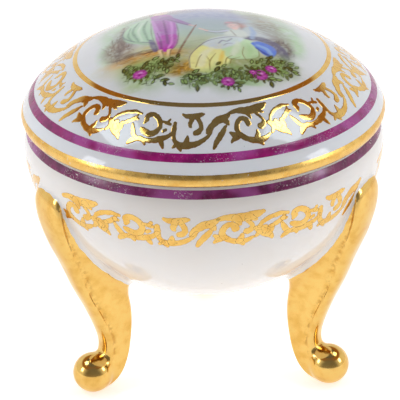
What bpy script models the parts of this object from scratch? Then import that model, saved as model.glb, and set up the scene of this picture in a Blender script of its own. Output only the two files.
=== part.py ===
"""Round porcelain trinket box on three gilded cabriole legs, with a lift-off domed lid.

Five separate pieces of porcelain: a lid with a locating flange, a bowl, and three legs that
are cast on their own and luted under the bowl. Metres, +Z up. The origin is on the box's axis,
on the surface that the three feet stand on. The front legs are at +-60 degrees from -Y.
"""
import math

import bmesh
import bpy
from mathutils import Vector

# The seam between the lid and the bowl
SEAM_Z = 0.0594            # underside of the lid's seat, above the surface that the feet stand on
SEAM_R = 0.0376            # outer edge of the bowl's rim
SEAM_GAP = 0.0003          # between the seat and the rim

# Lid
LID_OVERHANG = 0.0004      # how far the lid's lower edge stands out past the rim
LIP_SWELL = 0.0013         # how far the widest point of the lip stands out past that edge
LIP_H = 0.0019             # height of the widest point above the seat
DOME_RISE = 0.0179         # crown above the lip's widest point
DOME_POWER = 0.69          # how full the dome is: 0.5 is an ellipse, more is flatter
LID_WALL = 0.0026          # thickness at the crown
LID_HOLLOW_POWER = 0.43
FLANGE_DEPTH = 0.0030      # how far the flange reaches into the bowl
FLANGE_WALL = 0.0018
FLANGE_CLEARANCE = 0.0004  # radial play between the flange and the bowl's mouth

# Bowl
BOWL_SWELL = 0.00145       # how far the belly stands out past the rim
BOWL_SHOULDER = 0.0053     # depth of the widest ring below the seam
BOWL_DEPTH = 0.0344        # from the widest ring to the outer bottom
BOWL_POWER = 1.88          # superellipse power of the outer curve
BOWL_WALL = 0.0030
BOWL_FLOOR = 0.0032

# Legs
KNEE_PROUD = 0.0021        # how far the knee's widest point stands out from the belly
KNEE_HALF_WIDTH = 0.0055
SHANK_HALF_WIDTH = 0.0028
TOE_R = 0.0302             # distance of the ball's centre from the axis
TOE_BALL_R = 0.0045
FOOT_PAD_R = 0.0015        # ground flat under each ball
LEG_GAP = 0.0003           # joint between a leg and the bowl
FRONT_SHARE = 0.22         # share of a section's depth that its rounded face takes
BACK_SHARE = 0.16

ROUND_STEPS = 48
CURVE_POINTS = 11          # points on each of the lathe profiles' curved stretches
SECTION_POINTS = 16        # points round a leg's section
STATION_STEPS = 2          # sections between two of a leg's stations

WHITE = (0.80, 0.81, 0.82, 1.0)
IVORY = (0.84, 0.82, 0.79, 1.0)
GOLD = (0.90, 0.62, 0.20, 1.0)

LID_EDGE_R = SEAM_R + LID_OVERHANG
LIP_R = LID_EDGE_R + LIP_SWELL
BOWL_R = SEAM_R + BOWL_SWELL
MOUTH_R = SEAM_R - BOWL_WALL
FLANGE_R = MOUTH_R - FLANGE_CLEARANCE
FLANGE_INNER_R = FLANGE_R - FLANGE_WALL
TOE_Z = math.sqrt(TOE_BALL_R ** 2 - FOOT_PAD_R ** 2)


def clear_scene():
    """Remove every object, so that the script can be run again."""
    for obj in list(bpy.data.objects):
        bpy.data.objects.remove(obj, do_unlink=True)


def make_collection(name):
    """Link a new collection to the scene."""
    collection = bpy.data.collections.new(name)
    bpy.context.scene.collection.children.link(collection)
    return collection


def make_material(name, color, roughness, metallic):
    """A Principled material."""
    material = bpy.data.materials.new(name)
    material.use_nodes = True
    shader = material.node_tree.nodes["Principled BSDF"]
    shader.inputs["Base Color"].default_value = color
    shader.inputs["Roughness"].default_value = roughness
    shader.inputs["Metallic"].default_value = metallic
    return material


def add_object(name, mesh, collection, material=None):
    """Put a mesh in a collection as a named object."""
    obj = bpy.data.objects.new(name, mesh)
    collection.objects.link(obj)
    if material:
        mesh.materials.append(material)
    return obj


def shade(obj):
    """Smooth faces, with the turned edges kept sharp."""
    obj.data.shade_smooth()
    obj.data.set_sharp_from_angle(angle=math.radians(40))


def turned(name, profile, collection, material=None):
    """Turn an (r, z) profile about +Z, from the top of the outer side round to the start."""
    mesh = bpy.data.meshes.new(name)
    count = len(profile)
    edges = [(i, i + 1) for i in range(count - 1)]
    mesh.from_pydata([(r, 0.0, z) for r, z in profile], edges, [])
    obj = add_object(name, mesh, collection, material)
    screw = obj.modifiers.new("turn", "SCREW")
    screw.axis = "Z"
    screw.steps = ROUND_STEPS
    screw.render_steps = ROUND_STEPS
    screw.use_merge_vertices = True
    screw.merge_threshold = 0.00001
    screw.use_smooth_shade = True
    return obj


def fractions(count):
    """Evenly spaced values from 0 to 1."""
    return [i / (count - 1) for i in range(count)]


def mix(a, b, share):
    """A value between a and b."""
    return a + (b - a) * share


def dome_profile(radius, base_z, rise, power):
    """A dome from its crown down to its edge, closer spaced towards the edge."""
    points = []
    for t in fractions(CURVE_POINTS):
        r = radius * math.sin(t * math.pi / 2)
        z = base_z + rise * max(0.0, 1 - (r / radius) ** 2) ** power
        points.append((r, z))
    return points


def lid_profile():
    """Crown, dome, gilt lip, seat, flange and hollow."""
    dome = dome_profile(LIP_R, SEAM_Z + LIP_H, DOME_RISE, DOME_POWER)
    hollow_rise = LIP_H + DOME_RISE - LID_WALL
    hollow = dome_profile(FLANGE_INNER_R, SEAM_Z, hollow_rise, LID_HOLLOW_POWER)
    foot_z = SEAM_Z - FLANGE_DEPTH
    lip = [
        (LIP_R - 0.0001, SEAM_Z + 0.72 * LIP_H),
        (LID_EDGE_R + 0.0001, SEAM_Z + 0.0001),
        (LID_EDGE_R - 0.0002, SEAM_Z),
    ]
    flange = [
        (FLANGE_R, SEAM_Z),
        (FLANGE_R, foot_z + 0.0004),
        (FLANGE_R - 0.0003, foot_z),
        (FLANGE_INNER_R + 0.0003, foot_z),
        (FLANGE_INNER_R, foot_z + 0.0004),
    ]
    return dome + lip + flange + hollow[::-1]


def bowl_curve(radius, depth, grow=0.0):
    """The bowl's belly, from its widest ring down to the middle of the bottom."""
    top = SEAM_Z - BOWL_SHOULDER
    points = []
    for t in fractions(CURVE_POINTS + 2):
        angle = t * math.pi / 2
        r = (radius + grow) * max(0.0, math.cos(angle)) ** (2 / BOWL_POWER)
        z = top - (depth + grow) * math.sin(angle) ** (2 / BOWL_POWER)
        points.append((r if t < 1 else 0.0, z))
    return points


def shoulder_curve(radius, rim_r, count=4):
    """From the rim out to the widest ring, without that ring."""
    rim_z = SEAM_Z - SEAM_GAP
    drop = BOWL_SHOULDER - SEAM_GAP
    swell = radius - rim_r
    shares = fractions(count)[:-1]
    return [(rim_r + swell * math.sin(t * math.pi / 2), rim_z - drop * t) for t in shares]


def bowl_profile():
    """Rim, shoulder, belly, and the hollow back up to the mouth."""
    outside = shoulder_curve(BOWL_R, SEAM_R) + bowl_curve(BOWL_R, BOWL_DEPTH)
    inner_r = BOWL_R - BOWL_WALL
    inside = shoulder_curve(inner_r, MOUTH_R) + bowl_curve(inner_r, BOWL_DEPTH - BOWL_FLOOR)
    return outside + inside[::-1] + outside[:1]


def beside_belly(share, proud):
    """(r, drop) of a point proud of the belly, at a share of the way down from its widest ring."""
    belly_r = BOWL_R * (1 - share ** BOWL_POWER) ** (1 / BOWL_POWER)
    return belly_r + proud, BOWL_SHOULDER + share * BOWL_DEPTH


def knee_stations():
    """The leg along the bowl: outer and inner (r, drop), then front and back half width."""
    rows = (
        (0.081, KNEE_PROUD - 0.00287, 0.108, -0.0021, 0.50, 0.40),
        (0.105, KNEE_PROUD - 0.00135, 0.183, -0.0032, 0.84, 0.66),
        (0.183, KNEE_PROUD, 0.305, -0.0037, 1.00, 0.82),
        (0.305, KNEE_PROUD + 0.00124, 0.474, -0.0034, 0.94, 0.84),
        (0.465, KNEE_PROUD + 0.00270, 0.690, -0.0012, 0.78, 0.80),
        (0.642, KNEE_PROUD + 0.00510, 0.865, 0.0039, 0.66, 0.70),
    )
    stations = []
    for outer_share, outer_proud, inner_share, inner_proud, front, back in rows:
        outer = beside_belly(outer_share, outer_proud)
        inner = beside_belly(inner_share, inner_proud)
        stations.append((*outer, *inner, front * KNEE_HALF_WIDTH, back * KNEE_HALF_WIDTH))
    return stations


def shank_stations(hip, ankle):
    """The leg between the bowl and the ankle, at shares of the drop from hip to ankle."""
    rows = (
        (0.255, 0.0035, 0.174, -0.0093, 1.15, 1.04),
        (0.498, 0.0009, 0.370, -0.0099, 1.06, 0.86),
        (0.728, -0.0012, 0.576, -0.0099, 1.00, 0.78),
        (0.889, -0.0022, 0.783, -0.0094, 0.98, 0.78),
    )
    stations = []
    for outer_share, outer_r, inner_share, inner_r, front, back in rows:
        outer_drop = hip[1] + outer_share * (ankle[1] - hip[1])
        inner_drop = hip[3] + inner_share * (ankle[3] - hip[3])
        widths = (front * SHANK_HALF_WIDTH, back * SHANK_HALF_WIDTH)
        stations.append((TOE_R + outer_r, outer_drop, TOE_R + inner_r, inner_drop, *widths))
    return stations


def toe_stations():
    """The ankle and the turn of the foot into its ball."""
    ball = SEAM_Z - TOE_Z
    rows = (
        (-0.0020, -0.0043, -0.0085, -0.0026, 0.98, 0.84),
        (-0.0008, -0.0032, -0.0068, 0.0010, 1.03, 0.92),
        (0.0002, -0.0018, -0.0042, 0.0033, 1.00, 0.92),
        (0.0006, -0.0004, -0.0012, 0.0040, 0.80, 0.70),
    )
    thin = SHANK_HALF_WIDTH
    return [(TOE_R + a, ball + b, TOE_R + c, ball + d, e * thin, f * thin) for a, b, c, d, e, f in rows]


def leg_stations():
    """All stations from the knee's top to the toe. A drop is a depth below the seam."""
    knee = knee_stations()
    toe = toe_stations()
    return knee + shank_stations(knee[-1], toe[0]) + toe


def smooth_run(stations, steps):
    """Stations with more between them, on a Catmull-Rom curve."""
    first = [2 * a - b for a, b in zip(stations[0], stations[1])]
    last = [2 * a - b for a, b in zip(stations[-1], stations[-2])]
    rows = [first] + [list(s) for s in stations] + [last]
    run = []
    for i in range(1, len(rows) - 2):
        for k in range(steps):
            t = k / steps
            run.append([
                0.5 * (2 * b + (c - a) * t + (2 * a - 5 * b + 4 * c - d) * t ** 2
                       + (3 * b - a - 3 * c + d) * t ** 3)
                for a, b, c, d in zip(*rows[i - 1:i + 3])
            ])
    return run + [rows[-2]]


def leg_section(station):
    """One closed section: a rounded face in front, flanks, and a rounded back."""
    outer_r, outer_drop, inner_r, inner_drop, front, back = station
    half = SECTION_POINTS // 2
    side = []
    for i in range(half + 1):
        t = i / half
        if t <= 0.5:
            angle = t * math.pi
            side.append((FRONT_SHARE * (1 - math.cos(angle)), front * math.sin(angle)))
        else:
            angle = (t - 0.5) * math.pi
            depth = 1 - BACK_SHARE * (1 - math.sin(angle))
            side.append((depth, back * math.cos(angle)))
    loop = side + [(s, -w) for s, w in side[-2:0:-1]]
    return [
        Vector((w, -mix(outer_r, inner_r, s), SEAM_Z - mix(outer_drop, inner_drop, s)))
        for s, w in loop
    ]


def leg_mesh(name):
    """Loft of the leg's sections, in the plane of -Y."""
    bm = bmesh.new()
    rings = []
    for station in smooth_run(leg_stations(), STATION_STEPS):
        rings.append([bm.verts.new(p) for p in leg_section(station)])
    for upper, lower in zip(rings, rings[1:]):
        for i in range(SECTION_POINTS):
            j = (i + 1) % SECTION_POINTS
            bm.faces.new((upper[i], upper[j], lower[j], lower[i]))
    bm.faces.new(rings[0])
    bm.faces.new(rings[-1])
    bmesh.ops.recalc_face_normals(bm, faces=bm.faces)
    mesh = bpy.data.meshes.new(name)
    bm.to_mesh(mesh)
    bm.free()
    return mesh


def ball_mesh(name):
    """The toe's ball."""
    bm = bmesh.new()
    bmesh.ops.create_uvsphere(bm, u_segments=20, v_segments=12, radius=TOE_BALL_R)
    bmesh.ops.translate(bm, verts=bm.verts, vec=(0.0, -TOE_R, TOE_Z))
    mesh = bpy.data.meshes.new(name)
    bm.to_mesh(mesh)
    bm.free()
    return mesh


def box_mesh(name, low, high):
    """A box between two corners."""
    bm = bmesh.new()
    bmesh.ops.create_cube(bm, size=1.0)
    for vert in bm.verts:
        vert.co = Vector([lo if c < 0 else hi for c, lo, hi in zip(vert.co, low, high)])
    mesh = bpy.data.meshes.new(name)
    bm.to_mesh(mesh)
    bm.free()
    return mesh


def as_cutter(obj):
    """Keep a helper out of the model."""
    obj.hide_render = True
    obj.display_type = "WIRE"
    return obj


def boolean(obj, operation, other):
    """Add an exact Boolean."""
    modifier = obj.modifiers.new(operation.lower(), "BOOLEAN")
    modifier.operation = operation
    modifier.object = other
    modifier.solver = "EXACT"


def make_legs(parts, cutters, material):
    """Three legs under the bowl, each cut to the bowl's belly and ground flat underneath."""
    belly = shoulder_curve(BOWL_R + LEG_GAP, SEAM_R + LEG_GAP)
    belly += bowl_curve(BOWL_R, BOWL_DEPTH, grow=LEG_GAP)
    rim_z = SEAM_Z - SEAM_GAP
    bowl_space = as_cutter(turned("bowl_space", [(0.0, rim_z)] + belly, cutters))
    reach = 2 * BOWL_R
    floor = box_mesh("ground", (-reach, -reach, -2 * TOE_BALL_R), (reach, reach, 0.0))
    ground = as_cutter(add_object("ground", floor, cutters))
    shape = leg_mesh("leg")
    shape.materials.append(material)
    ball = ball_mesh("toe_ball")
    for name, turn in (("leg_front_left", -60), ("leg_front_right", 60), ("leg_rear", 180)):
        angle = math.radians(turn)
        toe = as_cutter(add_object(name + "_ball", ball, cutters))
        leg = add_object(name, shape, parts)
        leg.rotation_euler.z = angle
        toe.rotation_euler.z = angle
        boolean(leg, "UNION", toe)
        boolean(leg, "DIFFERENCE", bowl_space)
        boolean(leg, "DIFFERENCE", ground)


def main():
    """Build the box."""
    clear_scene()
    parts = make_collection("trinket_box")
    cutters = make_collection("cutters")
    lid_glaze = make_material("lid_porcelain", WHITE, 0.12, 0.0)
    bowl_glaze = make_material("bowl_porcelain", IVORY, 0.12, 0.0)
    gilding = make_material("gilding", GOLD, 0.15, 1.0)
    shade(turned("lid", lid_profile(), parts, lid_glaze))
    shade(turned("bowl", bowl_profile(), parts, bowl_glaze))
    make_legs(parts, cutters, gilding)


main()
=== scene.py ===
"""Porcelain trinket box: glazed, banded in enamel, gilded and hand painted.

Turned porcelain lid and bowl, three luted legs with gilding, two gilt scroll bands, enamel
bands, a gilt lip and ring, and a painted scene on the lid. Metres, +Z up, front towards -Y.
The picture and the scroll are laid out in millimetres.
"""
import math

import bpy
import numpy as np
from bpy.props import FloatProperty, FloatVectorProperty, IntProperty, PointerProperty
from mathutils import Matrix, Vector
from mathutils.bvhtree import BVHTree


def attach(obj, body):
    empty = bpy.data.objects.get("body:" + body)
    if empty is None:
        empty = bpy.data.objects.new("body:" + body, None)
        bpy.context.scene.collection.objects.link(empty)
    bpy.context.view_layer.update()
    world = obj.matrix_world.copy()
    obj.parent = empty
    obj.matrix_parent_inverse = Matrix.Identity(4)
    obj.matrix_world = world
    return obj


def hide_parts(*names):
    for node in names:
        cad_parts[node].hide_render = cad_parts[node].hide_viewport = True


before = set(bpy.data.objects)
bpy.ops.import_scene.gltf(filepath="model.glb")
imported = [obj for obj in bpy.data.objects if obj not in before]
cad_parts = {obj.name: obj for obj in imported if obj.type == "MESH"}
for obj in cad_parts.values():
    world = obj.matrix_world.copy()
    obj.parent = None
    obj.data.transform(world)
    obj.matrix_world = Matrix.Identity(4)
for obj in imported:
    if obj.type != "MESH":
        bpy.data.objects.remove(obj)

bl_info = {
    "name": "Porcelain trinket box",
    "version": (1, 0, 0),
    "blender": (4, 5, 0),
    "location": "3D View > Sidebar > Trinket box",
    "description": "Builds the glazed, gilded and painted finish of a footed trinket box",
    "category": "Object",
}

MM = 0.001

# Shape of the cast pieces, as in the part's source
SEAM_Z = 0.0594
SEAM_R = 0.0376
SEAM_GAP = 0.0003
LID_EDGE_R = 0.0380
LIP_R = 0.0393
LIP_H = 0.0019
DOME_RISE = 0.0179
DOME_POWER = 0.69
LID_WALL = 0.0026
LID_HOLLOW_POWER = 0.43
FLANGE_DEPTH = 0.0030
FLANGE_R = 0.0342
FLANGE_INNER_R = 0.0324
MOUTH_R = 0.0346
BOWL_R = 0.03905
BOWL_SHOULDER = 0.0053
BOWL_DEPTH = 0.0344
BOWL_POWER = 1.88
BOWL_WALL = 0.0030
BOWL_FLOOR = 0.0032
KNEE_PROUD = 0.0021
KNEE_HALF_WIDTH = 0.0055
SHANK_HALF_WIDTH = 0.0028
TOE_R = 0.0302
TOE_BALL_R = 0.0045
FOOT_PAD_R = 0.0015
TOE_Z = math.sqrt(TOE_BALL_R ** 2 - FOOT_PAD_R ** 2)
LEG_TURNS = {"leg_front_left": -60, "leg_front_right": 60, "leg_rear": 180}

ROUND_STEPS = 256          # divisions round the turned pieces
LEG_CELL = 0.00028         # spacing of the grid that a leg's surface is drawn from
SINK = 0.00002             # how far the underside of a painted layer lies in the glaze
BAND_RISE = 0.00004        # thickness of the enamel bands and the gilt ring
LIP_GILDING_TOP = 0.0031   # height of the lip's gilding above the seam
PAINT_RISE = 0.000012      # how far the painted picture lies above the glaze


# ---------------------------------------------------------------- outlines of the turned pieces

def curved(points, steps=7):
    """Points with more between them, on a Catmull-Rom curve."""
    p = np.array(points, float)
    p = np.vstack([2 * p[0] - p[1], p, 2 * p[-1] - p[-2]])
    run = []
    for a, b, c, d in zip(p, p[1:], p[2:], p[3:]):
        for t in np.arange(steps) / steps:
            run.append(0.5 * (2 * b + (c - a) * t + (2 * a - 5 * b + 4 * c - d) * t ** 2
                              + (3 * b - a - 3 * c + d) * t ** 3))
    return np.array(run + [p[-2]])


class Outline:
    """A turned surface's outline, read by its length from the start."""

    def __init__(self, points):
        self.points = np.array(points, float)
        steps = np.linalg.norm(np.diff(self.points, axis=0), axis=1)
        self.length = np.r_[0.0, np.cumsum(steps)]
        tangent = np.gradient(self.points, self.length, axis=0)
        tangent /= np.linalg.norm(tangent, axis=1)[:, None]
        self.normal = np.c_[-tangent[:, 1], tangent[:, 0]]

    def at(self, s):
        """Radius, height and outward normal at a length."""
        r, z = (np.interp(s, self.length, self.points[:, k]) for k in (0, 1))
        nr, nz = (np.interp(s, self.length, self.normal[:, k]) for k in (0, 1))
        return r, z, nr, nz

    def where_r(self, r):
        """Length at which the outline first reaches a radius."""
        return float(self.length[np.argmax(self.points[:, 0] >= r)])

    def where_z(self, z):
        """Length at which the outline first falls to a height."""
        return float(self.length[np.argmax(self.points[:, 1] <= z)])


def dome(radius, base_z, rise, power, count):
    """A dome's outline from its crown to its edge."""
    r = radius * np.sin(np.linspace(0, math.pi / 2, count))
    return np.c_[r, base_z + rise * np.maximum(0.0, 1 - (r / radius) ** 2) ** power]


def lid_outside():
    """Crown, dome, the lip's widest point, and its lower facet down to the seam."""
    top = dome(LIP_R, SEAM_Z + LIP_H, DOME_RISE, DOME_POWER, 180)
    run = curved([(LIP_R, SEAM_Z + LIP_H), (LIP_R - 0.00012, SEAM_Z + 0.62 * LIP_H),
                  (LIP_R - 0.00045, SEAM_Z + 0.26 * LIP_H), (LID_EDGE_R + 0.0002, SEAM_Z + 0.0001)], 8)
    return np.vstack([top, run[1:]])


def bowl_curve(radius, rim_r, depth, count=110):
    """A bowl wall's outline from its rim down to the middle of the bottom."""
    t = np.linspace(0, 1, 24)[:-1]
    rim_z = SEAM_Z - SEAM_GAP
    top = SEAM_Z - BOWL_SHOULDER
    shoulder = np.c_[rim_r + (radius - rim_r) * np.sin(t * math.pi / 2), rim_z - (rim_z - top) * t]
    angle = np.linspace(0, math.pi / 2, count)
    power = 2 / BOWL_POWER
    belly = np.c_[radius * np.maximum(0, np.cos(angle)) ** power, top - depth * np.sin(angle) ** power]
    belly[-1, 0] = 0.0
    return np.vstack([shoulder, belly])


def rounded(corner_a, corner_b, drop):
    """A narrow rounded edge between two radii at nearly one height."""
    t = np.linspace(0, math.pi, 9)
    middle, half = (corner_a[0] + corner_b[0]) / 2, (corner_a[0] - corner_b[0]) / 2
    return [(middle + half * math.cos(a), corner_a[1] - drop * math.sin(a)) for a in t]


def lid_outline():
    """The whole lid: outside, seat, flange and hollow."""
    foot = SEAM_Z - FLANGE_DEPTH
    seat = [(LID_EDGE_R - 0.0002, SEAM_Z), (FLANGE_R + 0.0003, SEAM_Z),
            (FLANGE_R + 0.0001, SEAM_Z - 0.0001), (FLANGE_R, SEAM_Z - 0.0004)]
    flange = rounded((FLANGE_R, foot + 0.0005), (FLANGE_INNER_R, foot + 0.0005), 0.0005)
    rise = LIP_H + DOME_RISE - LID_WALL
    hollow = dome(FLANGE_INNER_R, SEAM_Z, rise, LID_HOLLOW_POWER, 60)
    return np.vstack([lid_outside(), seat, flange, hollow[::-1]])


def bowl_outline():
    """The whole bowl: outside, hollow and rounded rim."""
    outside = bowl_curve(BOWL_R, SEAM_R, BOWL_DEPTH)
    inside = bowl_curve(BOWL_R - BOWL_WALL, MOUTH_R, BOWL_DEPTH - BOWL_FLOOR, 70)
    bevel = 0.0003
    outside[0] = (SEAM_R - bevel, SEAM_Z - SEAM_GAP)
    inside[0] = (MOUTH_R + bevel, SEAM_Z - SEAM_GAP)
    brim = np.array([(SEAM_R, SEAM_Z - SEAM_GAP - bevel)])
    lip = np.array([(MOUTH_R, SEAM_Z - SEAM_GAP - bevel)])
    outside = np.vstack([outside[:1], brim, outside[2:]])
    inside = np.vstack([inside[:1], lip, inside[2:]])
    return np.vstack([outside, inside[::-1], outside[:1]])


LID_SKIN = Outline(lid_outside())
BOWL_SKIN = Outline(bowl_curve(BOWL_R, SEAM_R, BOWL_DEPTH, 300))


# ---------------------------------------------------------------- meshes

def new_object(name, verts, faces, material):
    """A smooth-shaded mesh object at the origin."""
    mesh = bpy.data.meshes.new(name)
    mesh.from_pydata([tuple(v) for v in verts], [], faces)
    mesh.validate()
    mesh.shade_smooth()
    mesh.materials.append(material)
    obj = bpy.data.objects.new(name, mesh)
    bpy.context.scene.collection.objects.link(obj)
    return obj


def signed_volume(verts, faces):
    """Volume of a closed mesh; below zero if its faces point inwards."""
    total = 0.0
    for face in faces:
        a = verts[face[0]]
        for i in range(1, len(face) - 1):
            total += np.dot(a, np.cross(verts[face[i]], verts[face[i + 1]]))
    return total / 6


def outward(verts, faces):
    """Faces turned so that their normals point out."""
    verts = np.asarray(verts, float)
    return faces if signed_volume(verts, faces) > 0 else [f[::-1] for f in faces]


def turned(outline, steps=ROUND_STEPS):
    """Vertices and faces of an outline turned about +Z, closed at its poles."""
    angle = np.arange(steps) * 2 * math.pi / steps
    verts, rows = [], []
    for r, z in outline:
        if r < 1e-7:
            rows.append([len(verts)])
            verts.append((0.0, 0.0, z))
        else:
            rows.append(list(range(len(verts), len(verts) + steps)))
            verts += [(r * math.sin(a), -r * math.cos(a), z) for a in angle]
    faces = []
    for upper, lower in zip(rows, rows[1:]):
        if len(upper) == len(lower) == 1:
            continue
        for i in range(steps):
            j = (i + 1) % steps
            ring = [upper[i % len(upper)], upper[j % len(upper)],
                    lower[j % len(lower)], lower[i % len(lower)]]
            faces.append(tuple(dict.fromkeys(ring)))
    return verts, outward(verts, faces)


def band(skin, start, end, height, wobble, seed, steps=420, across=14):
    """A thin painted band round a turned surface, with slightly uneven edges."""
    rng = np.random.default_rng(seed)
    angle = np.arange(steps) * 2 * math.pi / steps
    edges = []
    for s in (start, end):
        wave = sum(rng.normal() * np.sin(k * angle + rng.uniform(0, 6.3)) / k ** 0.6 for k in range(2, 40, 3))
        edges.append(s + wobble * wave / 2.2)
    share = 0.5 - 0.5 * np.cos(np.linspace(0, math.pi, across))
    plump = np.minimum(1.0, 4 * np.minimum(share, 1 - share)) ** 0.5
    rows = [(f, height * p) for f, p in zip(share, plump)]
    rows += [(f, -SINK) for f in share[-2:0:-1]]
    verts = []
    for f, rise in rows:
        r, z, nr, nz = skin.at(edges[0] + (edges[1] - edges[0]) * f)
        r, z = r + nr * rise, z + nz * rise
        verts += [(ri * math.sin(a), -ri * math.cos(a), zi) for ri, zi, a in zip(r, z, angle)]
    faces = []
    for k in range(len(rows)):
        a, b = k * steps, (k + 1) % len(rows) * steps
        faces += [(a + i, a + (i + 1) % steps, b + (i + 1) % steps, b + i) for i in range(steps)]
    return verts, outward(verts, faces)


def put_attribute(obj, name, values):
    """Store one number per vertex."""
    layer = obj.data.attributes.new(name, "FLOAT", "POINT")
    layer.data.foreach_set("value", np.asarray(values, np.float32))


# ---------------------------------------------------------------- scroll ornament

MOTIF_LENGTH = 34.0        # mm, one repeat
MOTIF_HEIGHT = 8.4         # mm
LID_SCROLL_R = (0.0359, 0.0280)       # radii on the lid of the scroll's foot and top
BOWL_SCROLL_DROP = (0.0138, 0.0056)   # drops below the seam, on the bowl, of its foot and top
SCROLL_RELIEF = 0.00002
# One repeat of the rocaille scroll: brush strokes of (x, y, half width) in mm
MOTIF = (
    ((-0.6, 7.2, .22), (1.0, 7.6, .42), (3.2, 7.4, .72), (5.6, 7.5, .78), (7.6, 7.9, .52), (8.5, 8.2, .15)),
    ((3.0, 7.3, .60), (3.6, 6.4, .36), (3.8, 5.8, .10)),
    ((5.6, 7.3, .60), (6.4, 6.8, .30), (7.0, 6.6, .10)),
    ((28.2, 3.5, .16), (28.8, 4.4, .45), (30.4, 5.8, .72), (32.1, 6.4, .62), (33.6, 7.3, .20)),
    ((31.8, 6.2, .50), (32.5, 5.5, .42), (32.8, 5.0, .12)),
    ((2.9, 4.8, .58), (2.6, 5.6, .46), (1.6, 5.9, .38), (0.7, 5.2, .44), (0.3, 3.9, .44), (0.9, 2.6, .40),
     (2.3, 1.6, .44), (3.9, 1.3, .52), (5.4, 1.5, .40), (6.6, 2.1, .14)),
    ((0.9, 2.7, .30), (-0.3, 2.7, .46), (-1.2, 3.3, .16)),
    ((0.2, 2.4, .36), (-0.8, 1.9, .30), (-1.2, 1.5, .12)),
    ((3.8, 1.3, .55), (4.4, .6, .26), (4.6, .3, .08)),
    ((3.8, 1.5, .48), (4.2, 2.4, .36), (4.3, 3.1, .10)),
    ((5.1, 6.6, .12), (5.8, 5.9, .24), (6.3, 4.9, .30), (6.0, 4.2, .44), (5.3, 3.8, .54)),
    ((7.2, 4.3, .40), (8.2, 3.4, .66), (9.2, 2.6, .70), (10.2, 1.8, .42), (10.7, 1.1, .12)),
    ((8.8, 4.2, .44), (9.2, 3.3, .56)),
    ((10.2, 4.2, .42), (10.1, 3.1, .46), (9.6, 2.2, .42)),
    ((7.8, 3.1, .44), (7.1, 2.2, .14)),
    ((7.7, 4.7, .14), (8.4, 5.6, .26), (10.0, 6.5, .32), (12.0, 6.9, .27), (13.7, 6.7, .10)),
    ((10.4, 4.3, .26), (11.6, 5.0, .34), (12.7, 5.7, .36)),
    ((12.7, 5.7, .26), (13.3, 5.5, .12)),
    ((12.6, 5.6, .26), (12.9, 6.3, .12)),
    ((14.9, 4.9, .16), (15.2, 5.6, .42), (15.3, 6.5, .56), (16.6, 6.8, .40), (18.0, 5.9, .40),
     (18.5, 4.6, .40), (17.9, 3.4, .44), (16.6, 2.9, .50), (15.3, 3.5, .44), (14.6, 3.9, .12)),
    ((12.5, 4.5, .12), (13.0, 3.4, .32), (13.6, 2.4, .36), (14.4, 1.9, .30)),
    ((12.9, .6, .14), (13.5, 1.3, .42), (14.8, 1.8, .40), (17.0, 1.6, .36), (19.0, 2.1, .50),
     (20.6, 2.8, .32), (21.5, 3.7, .20)),
    ((19.1, 2.0, .46), (19.6, 1.1, .32), (19.9, .5, .10)),
    ((15.8, 1.6, .30), (16.3, .9, .12)),
    ((19.4, 3.7, .24), (19.8, 3.9, .20)),
    ((18.8, 5.6, .12), (19.8, 5.4, .28), (20.6, 5.1, .14)),
    ((19.9, 5.5, .22), (20.4, 6.1, .10)),
    ((21.6, 5.4, .28), (21.5, 4.2, .40), (21.6, 3.0, .34), (22.0, 1.9, .32), (22.9, 1.2, .50),
     (24.2, 1.1, .66), (25.8, 1.4, .46), (27.2, 2.0, .32), (28.6, 3.1, .22), (29.3, 4.2, .10)),
    ((22.8, 1.1, .46), (23.2, .4, .22), (23.3, .1, .08)),
    ((24.1, 1.4, .52), (24.3, 2.2, .34), (24.4, 2.9, .10)),
    ((22.3, 1.3, .34), (21.7, .7, .12)),
    ((23.0, 7.3, .12), (24.2, 6.9, .42), (25.6, 6.9, .54), (26.9, 7.2, .42), (27.8, 7.4, .12)),
    ((25.2, 6.8, .44), (24.9, 5.9, .42), (24.7, 5.1, .26), (25.0, 4.7, .10)),
    ((26.2, 6.7, .36), (26.9, 5.6, .36), (27.0, 4.5, .38), (26.5, 3.8, .48), (25.9, 3.5, .40)),
    ((29.3, .5, .12), (29.8, 1.4, .38), (30.8, 2.8, .46), (31.6, 3.9, .40), (32.2, 4.7, .12)),
)


def stroke_field(x, y, points):
    """Distance from the edge of one brush stroke, below zero inside it."""
    run = curved(points)
    best = np.full(x.shape, 1e9)
    for (ax, ay, aw), (bx, by, bw) in zip(run, run[1:]):
        dx, dy = bx - ax, by - ay
        t = np.clip(((x - ax) * dx + (y - ay) * dy) / (dx * dx + dy * dy + 1e-12), 0, 1)
        gap = np.hypot(x - ax - t * dx, y - ay - t * dy) - (aw + (bw - aw) * t)
        best = np.minimum(best, gap)
    return best


def smooth_noise(shape, cell, rng):
    """Soft noise from -1 to 1, with features of about so many grid steps."""
    rough = rng.uniform(-1, 1, [int(n / cell) + 3 for n in shape])
    i, j = (np.arange(n) / cell for n in shape)
    i0, j0 = i.astype(int), j.astype(int)
    u, v = i - i0, j - j0
    u, v = (u * u * (3 - 2 * u))[:, None], (v * v * (3 - 2 * v))[None, :]
    a, b = rough[i0][:, j0], rough[i0 + 1][:, j0]
    c, d = rough[i0][:, j0 + 1], rough[i0 + 1][:, j0 + 1]
    return (a * (1 - u) + b * u) * (1 - v) + (c * (1 - u) + d * u) * v


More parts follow.
